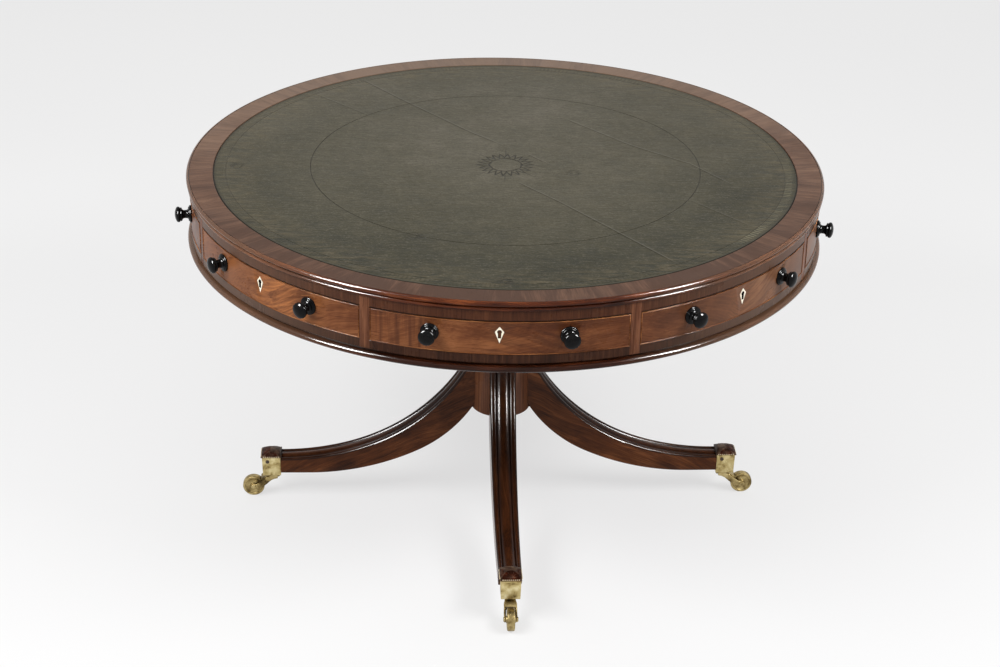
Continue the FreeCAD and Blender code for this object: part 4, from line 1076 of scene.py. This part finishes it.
def fronts(front_finish, bead_finish, knob_finish, keyhole_shade_finish):
    tone = {"tone": front_tone}
    add_piece("sham_veneers", merged_copy("sham_fronts"), "drum", "front_mahogany", front_finish,
              ["sham_fronts"], grain=front_grain, values=tone)
    beads = joined([cock_bead(a) for a in sham_azimuths])
    add_piece("sham_beads", beads, "drum", "front_mahogany", bead_finish)
    knobs = joined([knob(a + side * knob_angle) for a in sham_azimuths for side in (-1, 1)])
    add_piece("sham_turned_knobs", knobs, "drum", "ebonised_wood", knob_finish, ["sham_knobs"], sharp=50)
    keyhole_plugs = joined([keyhole_shade_plug(a) for a in sham_azimuths])
    add_piece("sham_keyholes", keyhole_plugs, "drum", "iron", keyhole_shade_finish)
    for body, azimuth in real_azimuths.items():
        add_piece(body + "_veneer", merged_copy(body + "_front"), body, "front_mahogany", front_finish,
                  [body + "_front"], grain=front_grain, values=tone)
        add_piece(body + "_bead", cock_bead(azimuth), body, "front_mahogany", bead_finish)
        add_piece(body + "_keyhole", keyhole_shade_plug(azimuth), body, "iron", keyhole_shade_finish)
        knobs = joined([knob(azimuth + side * knob_angle) for side in (-1, 1)])
        add_piece(body + "_turned_knobs", knobs, body, "ebonised_wood", knob_finish, [body + "_knobs"],
                  sharp=50)


def bottom_moulding(material):
    inner = base_board_radius + 0.0001
    nose_depth = 0.0042
    high = round(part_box("base_moulding")[1].z, 4)
    nose = half_round(base_moulding_radius - nose_depth, nose_depth, drum_bottom, high, 13)
    outline = [(inner, drum_bottom)] + nose + [(inner, high)]
    add_piece("bottom_moulding", turned(outline, rim_steps, True), "drum", "edge_mahogany", material,
              ["base_moulding"])


# Column and legs
column_radius = 0.059
cap_inner = 0.446
cap_outer = 0.484
cap_low = 0.053
cap_high = 0.095
toe_under = 0.0616
toe_crest = 0.0959
leg_reach = cap_inner - column_radius
crest_at_column = 0.329
under_at_column = 0.2123


def leg_height(level, flat, bend_share, outer_angle, at_column):
    # Height of one of a leg's two curves and its slope, at a distance from the column's axis
    bend = leg_reach * bend_share
    start = cap_inner - flat
    turn = math.radians(outer_angle)
    joint = (start - bend * math.sin(turn), level + bend * (1 - math.cos(turn)))
    chord = (joint[0] - column_radius, at_column - joint[1])
    inner_turn = 2 * (math.atan2(chord[1], chord[0]) - turn)
    inner = math.hypot(*chord) / (2 * math.sin(inner_turn / 2))
    centre = (joint[0] + inner * math.sin(turn), joint[1] + inner * math.cos(turn))

    def at(x):
        if x >= start:
            return level, 0.0
        if x >= joint[0]:
            angle = math.asin((start - x) / bend)
            return level + bend * (1 - math.cos(angle)), angle
        angle = math.asin(min(0.9999, (centre[0] - x) / inner))
        return centre[1] - inner * math.cos(angle), angle
    return at


crest_height = leg_height(toe_crest, 0.007, 1.28, 14.5, crest_at_column)
under_height = leg_height(toe_under, 0.058, 1.27, 26.2, under_at_column)
middle_half = 0.0125
leg_half_column = 0.026
leg_half_toe = 0.022
leg_steps = 120
arris = 0.0012
reed_drop = 0.0046
quirk_drop = 0.0050


def reed_outline():
    # Half widths at the column and drops below the crest, from side to side over the three reeds
    side_middle = (leg_half_column + middle_half) / 2
    side = arc_points((middle_half, quirk_drop), (side_middle, 0.0014), (leg_half_column, reed_drop), 9)
    middle = arc_points((-middle_half, quirk_drop), (0, 0), (middle_half, quirk_drop), 13)
    return [(-y, drop) for y, drop in reversed(side)] + middle[1:-1] + side


def leg_bar():
    # A straight bar of the reeded section. Its X counts steps. Its Z is the drop below the crest on the
    # reeds, and lower down only tells the side's top, middle and foot and the underside apart.
    bm = bmesh.new()
    half = leg_half_column
    outline = [(y, -drop) for y, drop in reed_outline()]
    outline += [(half, -0.3), (half, -0.6), (half, -0.9), (half - arris, -1.0)]
    outline += [(arris - half, -1.0), (-half, -0.9), (-half, -0.6), (-half, -0.3)]
    face = bm.faces.new([bm.verts.new((0, y, z)) for y, z in outline])
    for _ in range(leg_steps):
        made = bmesh.ops.extrude_face_region(bm, geom=[face])["geom"]
        moved = [v for v in made if isinstance(v, bmesh.types.BMVert)]
        bmesh.ops.translate(bm, vec=(1, 0, 0), verts=moved)
        face = next(f for f in made if isinstance(f, bmesh.types.BMFace))
    return bm


def shaped_leg():
    bm = leg_bar()
    for v in bm.verts:
        share = v.co.x / leg_steps
        width = abs(v.co.y)
        inside = math.sqrt((column_radius - 0.0015) ** 2 - width ** 2)
        x = cap_inner + (inside - cap_inner) * share
        half = leg_half_toe + (leg_half_column - leg_half_toe) * share
        if width > middle_half:
            spread = (half - middle_half) / (leg_half_column - middle_half)
            width = middle_half + (width - middle_half) * spread
        crest, slope = crest_height(x)
        low = under_height(x)[0]
        side_top = crest - reed_drop / math.cos(slope)
        if v.co.z > -0.1:
            z = crest + v.co.z / math.cos(slope)
        elif v.co.z > -0.5:
            z = side_top - 0.002
        elif v.co.z > -0.8:
            z = (side_top + low) / 2
        elif v.co.z > -0.95:
            z = low + arris
        else:
            z = low
        v.co = Vector((x, math.copysign(width, v.co.y), z))
    return bm


def leg_grain(number):
    lean = math.radians(26.0)

    def grain(co):
        return (co.x * math.cos(lean) - co.z * math.sin(lean) + number * 1.3, co.y + number * 0.4,
                co.x * math.sin(lean) + co.z * math.cos(lean))
    return grain


def reed_darkening(co):
    # Darker over the reeds and darkest down in the grooves between them.
    crest, slope = crest_height(max(co.x, 0.05))
    drop = (crest - co.z) * math.cos(slope)
    return 0.45 + 0.5 * min(1.0, drop / 0.005) if drop < 0.0052 else 0.0


block_low = 0.0951
block_side = 0.0036
block_rise = 0.0072
block_half_x = 0.0204
block_half_y = 0.0206
block_middle = (cap_inner + cap_outer) / 2
lip = 0.0013
corner_round = 0.07


def block_level(x, y):
    # Height of the carved block's cushion over a place measured from its middle
    across, along = min(1.0, abs(y) / block_half_y), min(1.0, abs(x) / block_half_x)
    fall = 2.2 if x > 0 else 8.5
    corner = (across * along) ** 3 if x > 0 else 0.0
    cushion = block_rise * (1 - along ** fall) * (1 - across ** 2.6)
    return block_low + block_side * (1 - 0.5 * corner) + cushion


# Each free face has an arch: turn, distance of the face from the middle, half width and reach up the cushion.
arches = ((0.0, block_half_x, 0.0176, 0.0185), (90.0, block_half_y, 0.0122, 0.0085),
          (-90.0, block_half_y, 0.0122, 0.0085))
bead_radius = 0.0012
bead_pitch = 0.0038


def arch_place(arch, angle, shrink):
    turn, out, half, reach = arch
    a = math.radians(turn)
    near = out - 0.0006 - reach * shrink * math.sin(angle) ** 1.2
    side = -math.cos(angle) * half * shrink
    x, y = near * math.cos(a) - side * math.sin(a), near * math.sin(a) + side * math.cos(a)
    return Vector((block_middle + x, y, block_level(x, y)))


def in_arch(co):
    x, y = co.x - block_middle, co.y
    for turn, out, half, reach in arches:
        a = math.radians(-turn)
        near, side = x * math.cos(a) - y * math.sin(a), x * math.sin(a) + y * math.cos(a)
        if abs(side) < half and near > out - reach * math.sin(math.acos(-side / half)) ** 1.2:
            return 1.0
    return 0.0


def toe_block():
    bm = bmesh.new()
    bmesh.ops.create_grid(bm, x_segments=44, y_segments=44, size=1)
    made = bmesh.ops.extrude_face_region(bm, geom=bm.faces[:])["geom"]
    upper = {v for v in made if isinstance(v, bmesh.types.BMVert)}
    for v in bm.verts:
        pull = 1 - corner_round * (v.co.x * v.co.y) ** 4 if v.co.x > 0 and v in upper else 1.0
        x, y = v.co.x * block_half_x * pull, v.co.y * block_half_y * pull
        out = lip if v.co.x > 0.99 and v not in upper else 0.0
        v.co = Vector((block_middle + x + out, y, block_level(x, y) if v in upper else block_low))
    bmesh.ops.recalc_face_normals(bm, faces=bm.faces[:])
    return bm


def toe_ornament():
    parts = []
    for arch in arches:
        parts.append(arch_moulding(arch))
        parts += fan_ribs(arch)
    return joined(parts)


def toe_beads():
    # A row of small beads along the foot of each free face
    beads = []
    for turn, out, half, reach in arches:
        for k in range(-4, 5):
            bm = bmesh.new()
            bmesh.ops.create_uvsphere(bm, u_segments=8, v_segments=6, radius=bead_radius)
            place = Matrix.Translation((block_middle, 0, 0)) @ Matrix.Rotation(math.radians(turn), 4, "Z")
            bmesh.ops.translate(bm, vec=(out + 0.0002, k * bead_pitch, block_low + 0.0021), verts=bm.verts[:])
            bmesh.ops.transform(bm, matrix=place, verts=bm.verts[:])
            beads.append(bm)
    return joined(beads)


def arch_moulding(arch):
    # A thin round moulding laid over the cushion along the arch
    bm = bmesh.new()
    radius, count, spread, ahead = 0.0007, 24, 8, 0.02
    rings = []
    for step in range(count + 1):
        angle = math.pi * step / count
        centre = arch_place(arch, angle, 1.0)
        run = (arch_place(arch, min(math.pi, angle + ahead), 1.0)
               - arch_place(arch, max(0.0, angle - ahead), 1.0))
        side = run.cross(Vector((0, 0, 1))).normalized()
        rise = side.cross(run).normalized()
        ring = []
        for k in range(spread):
            around = full_turn * k / spread
            place = centre + side * radius * math.cos(around) + rise * radius * math.sin(around)
            ring.append(bm.verts.new(place))
        rings.append(ring)
    join_rings(bm, rings)
    return bm


def fan_ribs(arch):
    ribs = []
    for k in range(1, 8):
        tip, foot = arch_place(arch, math.pi * k / 8, 0.86), arch_place(arch, math.pi / 2, 0.06)
        bm = bmesh.new()
        bmesh.ops.create_uvsphere(bm, u_segments=8, v_segments=6, radius=1)
        run = tip - foot
        bmesh.ops.scale(bm, vec=(0.0009, 0.0009, run.length / 2), verts=bm.verts[:])
        turn = Vector((0, 0, 1)).rotation_difference(run).to_matrix().to_4x4()
        place = Matrix.Translation((tip + foot) / 2 + Vector((0, 0, 0.0003)))
        bmesh.ops.transform(bm, matrix=place @ turn, verts=bm.verts[:])
        ribs.append(bm)
    return ribs


cap_half = 0.0195
cap_taper = 0.0012


def toe_cap():
    bm = box_mesh((cap_inner, -cap_half, cap_low), (cap_outer, cap_half, cap_high))
    for v in bm.verts:
        if v.co.z < cap_low + 0.001:
            v.co.y -= math.copysign(cap_taper, v.co.y)
            if v.co.x > cap_inner + 0.001:
                v.co.x -= cap_taper
    bevel_sharp(bm, 0.0009, 3)
    return bm


castor_circle = 0.503
wheel_radius = 0.022
pintle_circle = 0.461
horn_inner_half = 0.0096
horn_outer_half = 0.0126
narrow_until = 0.4640
widening = 0.0160
narrowness = 0.66
bridge_foot = 0.0405
bridge_top = 0.0486
bridge_shoulder = 0.0058
bridge_ends = (-0.0155, 0.0085)
bridge_out = 0.0010
bridge_fall = 0.45
bridge_level_until = 0.0085
crotch_clearance = 0.0014
crotch_inset = 0.0004


def extruded(points, low, high):
    # An outline of (x, z) places carried along Y
    bm = bmesh.new()
    near = [bm.verts.new((x, low, z)) for x, z in points]
    far = [bm.verts.new((x, high, z)) for x, z in points]
    count = len(points)
    for k in range(count):
        bm.faces.new((near[k], near[(k + 1) % count], far[(k + 1) % count], far[k]))
    bm.faces.new(near)
    bm.faces.new(far)
    bmesh.ops.recalc_face_normals(bm, faces=bm.faces[:])
    return bm


def spread_out(bm):
    # Narrow at the pintle, and spreading to its full width before the wheel
    for v in bm.verts:
        share = max(0.0, min(1.0, (v.co.x - narrow_until) / widening))
        v.co.y *= narrowness + (1 - narrowness) * share * share * (3 - 2 * share)


def horn_arms():
    # Two leaf-shaped arms, one on each side of the wheel, with eyes for its axle
    x, z = castor_circle, wheel_radius
    leaf = [(0.4555, 0.0478), (0.4620, 0.0486), (0.4700, 0.0470), (0.4790, 0.0420), (0.4880, 0.0350),
            (0.4965, 0.0290)]
    leaf += arc_points((x + 0.0008, z + 0.0056), (x + 0.0056, z), (x - 0.0016, z - 0.0054), 9)
    leaf += [(0.4930, 0.0190), (0.4850, 0.0222), (0.4760, 0.0290), (0.4670, 0.0360), (0.4580, 0.0400),
             (0.4540, 0.0430)]
    arms = []
    for side in (-1, 1):
        low, high = sorted((side * horn_inner_half, side * horn_outer_half))
        arm = extruded(leaf, low, high)
        bevel_sharp(arm, 0.0009, 3)
        arms.append(arm)
    return arms


def horn_bridge():
    # Joins the arms under the pintle, with rounded shoulders, and falls a little towards the wheel
    out, within, turn = horn_outer_half, horn_inner_half - 0.0002, 0.3 * bridge_shoulder
    left = [(-out, bridge_foot), (-out, bridge_top - bridge_shoulder)]
    left += arc_points(left[1], (-out + turn, bridge_top - turn), (-out + bridge_shoulder, bridge_top), 6)[1:]
    right = [(-y, z) for y, z in reversed(left)]
    hollow = [(within, bridge_foot), (within, 0.0436), (0.0072, 0.0452)]
    hollow += [(-y, z) for y, z in reversed(hollow)]
    bridge = extruded(left + right + hollow, *bridge_ends)
    quarter = Matrix.Rotation(math.radians(90), 3, "Z")
    bmesh.ops.rotate(bridge, verts=bridge.verts[:], cent=(0, 0, 0), matrix=quarter)
    for v in bridge.verts:
        v.co.z -= bridge_fall * max(0.0, v.co.x - bridge_level_until)
    bmesh.ops.translate(bridge, vec=(pintle_circle + bridge_out, 0, 0), verts=bridge.verts[:])
    bevel_sharp(bridge, 0.0006)
    return bridge


def horn_crotch():
    # Fills the fork between the arms and keeps clear of the wheel
    reach = wheel_radius + crotch_clearance
    outline = [(0.4750, 0.0380), (0.4764, 0.0456), (0.4866, 0.0420)]
    for degrees in range(130, 166, 5):
        a = math.radians(degrees)
        outline.append((castor_circle + reach * math.cos(a), wheel_radius + reach * math.sin(a)))
    return extruded(outline, -horn_inner_half - crotch_inset, horn_inner_half + crotch_inset)


def pintle():
    # The turned neck on the bridge and the stem that goes up into the cap
    neck = [(0, 0.0450), (0.0072, 0.0450)]
    neck += arc_points((0.0072, 0.0488), (0.0064, 0.0496), (0.0078, 0.0504), 5)
    neck += arc_points((0.0086, 0.0510), (0.0090, 0.0518), (0.0084, 0.0527), 5) + [(0, 0.0527)]
    stem = [(0, 0.0520), (0.0039, 0.0520), (0.0039, 0.0600), (0, 0.0600)]
    parts = [turned(outline, 32) for outline in (neck, stem)]
    for part in parts:
        bmesh.ops.translate(part, vec=(pintle_circle, 0, 0), verts=part.verts[:])
    return parts


def horn():
    fork = horn_arms() + [horn_bridge(), horn_crotch()]
    for part in fork:
        spread_out(part)
    heel = bmesh.new()
    bmesh.ops.create_uvsphere(heel, u_segments=20, v_segments=12, radius=0.0036)
    bmesh.ops.translate(heel, vec=(0.4525, 0, 0.0440), verts=heel.verts[:])
    return joined(fork + pintle() + [heel])


def wheel():
    half, hub_half, hub_radius = 0.00725, 0.0093, 0.007
    rim_inner, tread_round, bore = 0.017, 0.0026, 0.00306
    side = [(bore, 0.0), (bore, hub_half - 0.0004), (bore + 0.0005, hub_half),
            (hub_radius - 0.0008, hub_half), (hub_radius, hub_half - 0.0008),
            (hub_radius + 0.0004, half - 0.0016)]
    side += arc_points((hub_radius + 0.001, half - 0.0021), ((hub_radius + rim_inner) / 2, half - 0.0027),
                       (rim_inner - 0.001, half - 0.0021), 6)
    side += [(rim_inner - 0.0002, half - 0.0016), (rim_inner + 0.0003, half - 0.0004),
             (rim_inner + 0.0009, half)]
    side += arc_points((wheel_radius - tread_round, half), (wheel_radius - 0.0008, half - 0.0008),
                       (wheel_radius, half - tread_round), 7)
    outline = side + [(r, -z) for r, z in reversed(side) if z > 0]
    bm = turned(outline, 64, True)
    lay = Matrix.Translation((castor_circle, 0, wheel_radius)) @ Matrix.Rotation(math.radians(90), 4, "X")
    bmesh.ops.transform(bm, matrix=lay, verts=bm.verts[:])
    return bm


def everywhere(value):
    return lambda co: value


def base(leg_finish, column_finish, carved_finish, brass_finish, aged_finish):
    bar, cap, one_horn, round_wheel = shaped_leg(), toe_cap(), horn(), wheel()
    # Carved parts of a toe, with how much painted arch shade and how much painted bead highlight each place
    # of them gets
    carvings = (("toe_block_", toe_block(), in_arch, everywhere(0.0)),
                ("toe_arches_", toe_ornament(), everywhere(0.55), everywhere(0.0)),
                ("toe_beads_", toe_beads(), everywhere(0.0), everywhere(1.0)))
    for number, azimuth in enumerate(leg_azimuths, start=1):
        label, turn = str(number), leg_turn(azimuth)
        add_piece("sabre_leg_" + label, copied(bar), "base", "base_mahogany", leg_finish, ["leg_" + label],
                  sharp=40, turn=turn, grain=leg_grain(number), values={"reed": reed_darkening})
        for name, shape, painted_arch_shade, painted_bead_highlight in carvings:
            add_piece(name + label, copied(shape), "base", "base_mahogany", carved_finish, sharp=50,
                      turn=turn, values={"painted_arch_shade": painted_arch_shade, "painted_bead_highlight": painted_bead_highlight})
        fittings = (("toe_cap_", cap, "base", brass_finish, "castor_cap_", 30),
                    ("horn_", one_horn, "castor_" + label, aged_finish, "castor_fork_", 40),
                    ("turned_wheel_", round_wheel, "wheel_" + label, aged_finish, "castor_wheel_", 40))
        for name, shape, body, finish, node, sharp in fittings:
            add_piece(name + label, copied(shape), body, "brass", finish, [node + label], sharp=sharp,
                      turn=turn)
    for name, node in (("pillar", "column"), ("bearing_board", "column_platform")):
        add_piece(name, merged_copy(node), "base", "base_mahogany", column_finish, [node], sharp=30)


def carried_over(finishes):
    # CAD pieces whose shapes stay get their finish only.
    for node, finish in finishes.items():
        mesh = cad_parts[node].data
        mesh.materials.clear()
        mesh.materials.append(finish)


# Floor, lamps and camera
floor_glow = 0.68
lamp_target = (0, 0, 0.6)
lamp_distance = 3.2


def floor():
    bm = bmesh.new()
    bmesh.ops.create_grid(bm, x_segments=1, y_segments=1, size=30)
    mesh = bpy.data.meshes.new("floor")
    bm.to_mesh(mesh)
    bm.free()
    finish = Finish("pale_floor", roughness=0.75, specular=0.2)
    haze = finish.noise(finish.object_place(), 0.6, 2.0)
    shades_of_floor = [(0.3, (0.85, 0.85, 0.855, 1)), (0.7, (0.89, 0.89, 0.89, 1))]
    finish.give("Base Color", finish.ramp(haze, shades_of_floor))
    glow = finish.node("Emission", {"Color": (0.905, 0.905, 0.91, 1.0), "Strength": 1.0})
    rays = finish.node("LightPath", {})
    seen = finish.larger(rays.outputs["Is Camera Ray"], rays.outputs["Is Transmission Ray"])
    share = finish.times(finish.larger(seen, rays.outputs["Is Glossy Ray"]), floor_glow)
    both = finish.node("MixShader", {0: share, 1: finish.shader.outputs["BSDF"], 2: glow.outputs["Emission"]})
    output = next(n for n in finish.tree.nodes if n.type == "OUTPUT_MATERIAL")
    finish.feed(output.inputs["Surface"], both.outputs["Shader"])
    mesh.materials.append(finish.material)
    ground = bpy.data.objects.new("floor", mesh)
    bpy.context.scene.collection.objects.link(ground)


def softbox(name, azimuth, elevation, width, height, power, receivers=None):
    # A lamp with receivers makes only reflections, on them, and the others light only matt surfaces.
    lamp = bpy.data.lights.new(name, "AREA")
    lamp.shape = "RECTANGLE"
    lamp.size, lamp.size_y = width, height
    lamp.energy = power
    a, e = math.radians(azimuth), math.radians(elevation)
    back = Vector((math.sin(a) * math.cos(e), -math.cos(a) * math.cos(e), math.sin(e)))
    holder = bpy.data.objects.new(name, lamp)
    holder.location = Vector(lamp_target) + back * lamp_distance
    holder.rotation_mode = "QUATERNION"
    holder.rotation_quaternion = (-back).to_track_quat("-Z", "Y")
    holder.visible_diffuse = receivers is None
    holder.visible_glossy = receivers is not None
    if receivers is not None:
        holder.light_linking.receiver_collection = receivers
    bpy.context.scene.collection.objects.link(holder)


def sky():
    world = bpy.data.worlds.new("studio")
    world.use_nodes = True
    tree = world.node_tree
    tree.nodes.clear()
    output = tree.nodes.new("ShaderNodeOutputWorld")
    light = tree.nodes.new("ShaderNodeBackground")
    shown = tree.nodes.new("ShaderNodeBackground")
    light.inputs["Color"].default_value = (1.0, 0.99, 0.965, 1)
    light.inputs["Strength"].default_value = 0.55
    shown.inputs["Color"].default_value = (0.93, 0.93, 0.93, 1)
    path = tree.nodes.new("ShaderNodeLightPath")
    seen = path.outputs["Is Camera Ray"]
    for kind in ("Is Glossy Ray", "Is Transmission Ray"):
        either = tree.nodes.new("ShaderNodeMath")
        either.operation = "MAXIMUM"
        tree.links.new(seen, either.inputs[0])
        tree.links.new(path.outputs[kind], either.inputs[1])
        seen = either.outputs[0]
    either = tree.nodes.new("ShaderNodeMixShader")
    tree.links.new(seen, either.inputs[0])
    tree.links.new(light.outputs[0], either.inputs[1])
    tree.links.new(shown.outputs[0], either.inputs[2])
    tree.links.new(either.outputs[0], output.inputs["Surface"])
    bpy.context.scene.world = world


camera_place = (2.874696, -2.837648, 2.393200)
camera_azimuth = 45.424
camera_elevation = 26.647
camera_roll = 1.215
lens = 81.49


def camera():
    data = bpy.data.cameras.new("camera")
    data.lens = lens
    data.sensor_width = 36.0
    eye = bpy.data.objects.new("camera", data)
    turn = (Matrix.Rotation(math.radians(camera_azimuth), 4, "Z")
            @ Matrix.Rotation(math.radians(90 - camera_elevation), 4, "X")
            @ Matrix.Rotation(math.radians(camera_roll), 4, "Z"))
    eye.matrix_world = Matrix.Translation(camera_place) @ turn
    bpy.context.scene.collection.objects.link(eye)
    bpy.context.scene.camera = eye


camera()
sky()
floor()
softbox("left_softbox", -6.0, 38.0, 2.2, 0.5, 75.0)
softbox("right_softbox", 104.0, 38.0, 1.8, 0.5, 65.0)
softbox("left_glint", -10.0, 33.0, 0.85, 1.7, 840.0, polished_pieces)
softbox("right_glint", 106.0, 33.0, 0.68, 1.7, 670.0, polished_pieces)
softbox("left_brass_glint", -3.0, 36.0, 1.0, 1.0, 45.0, brass_pieces)
softbox("right_brass_glint", 98.0, 36.0, 1.0, 1.0, 40.0, brass_pieces)
bpy.context.scene.view_settings.view_transform = "Standard"

front_finish, knob_finish, column_finish = front_wood(), ebonised(), column_wood()
brass_finish = brass("brass", tint(92, 74, 42), tint(176, 156, 104), tint(212, 196, 146),
                     tint(230, 219, 178), 0.6)
aged_finish = brass("aged_brass", tint(56, 44, 26), tint(132, 114, 74), tint(180, 161, 112),
                    tint(208, 192, 146), 0.5)
iron = dark_metal("iron", tint(38, 34, 32), tint(78, 70, 64), 60.0, 0.45, 0.65)
# Black for the keyhole plugs, which stand in for shade
black = dark_metal("keyhole_shade_black", tint(6, 5, 5), tint(16, 13, 12), 60.0, 0.6, 0.8)
rail_finish = rail_wood("rail_wood", (tint(50, 26, 15), tint(66, 36, 21), tint(84, 49, 30)),
                        tint(88, 66, 52), opening_top)
low_rail_finish = rail_wood("low_rail_wood", (tint(38, 20, 11), tint(52, 28, 16), tint(67, 40, 24)),
                            tint(98, 77, 64))
top_edge(edge_wood())
crossbanding(crossband_wood())
leather_top(leather())
frieze(rail_finish, low_rail_finish, stile_wood())
fronts(front_finish, bead_wood(), knob_finish, black)
bottom_moulding(moulding_wood())
base(base_wood(), column_finish, carved_wood(), brass_finish, aged_finish)

pine = plain_wood("pine", (tint(168, 122, 72), tint(196, 152, 98), tint(220, 184, 132)), 0.6)
oak = plain_wood("oak", (tint(146, 104, 62), tint(180, 138, 90), tint(206, 168, 120)), 0.55)
steel = dark_metal("screw_steel", tint(52, 44, 40), tint(112, 98, 88), 300.0, 0.35, 0.5)
ivory = bone()
kept = {"drawer_guides": pine, "drawer_runners": pine, "hub_block": pine,
        "spindle": iron, "spindle_nut": iron, "leg_plate": iron,
        "castor_cap_screws": steel, "sham_escutcheons": ivory}
for body in real_azimuths:
    kept.update({body + "_box": oak, body + "_escutcheon": ivory, body + "_lock": brass_finish})
for number in range(1, 5):
    kept["castor_axle_" + str(number)] = aged_finish
carried_over(kept)
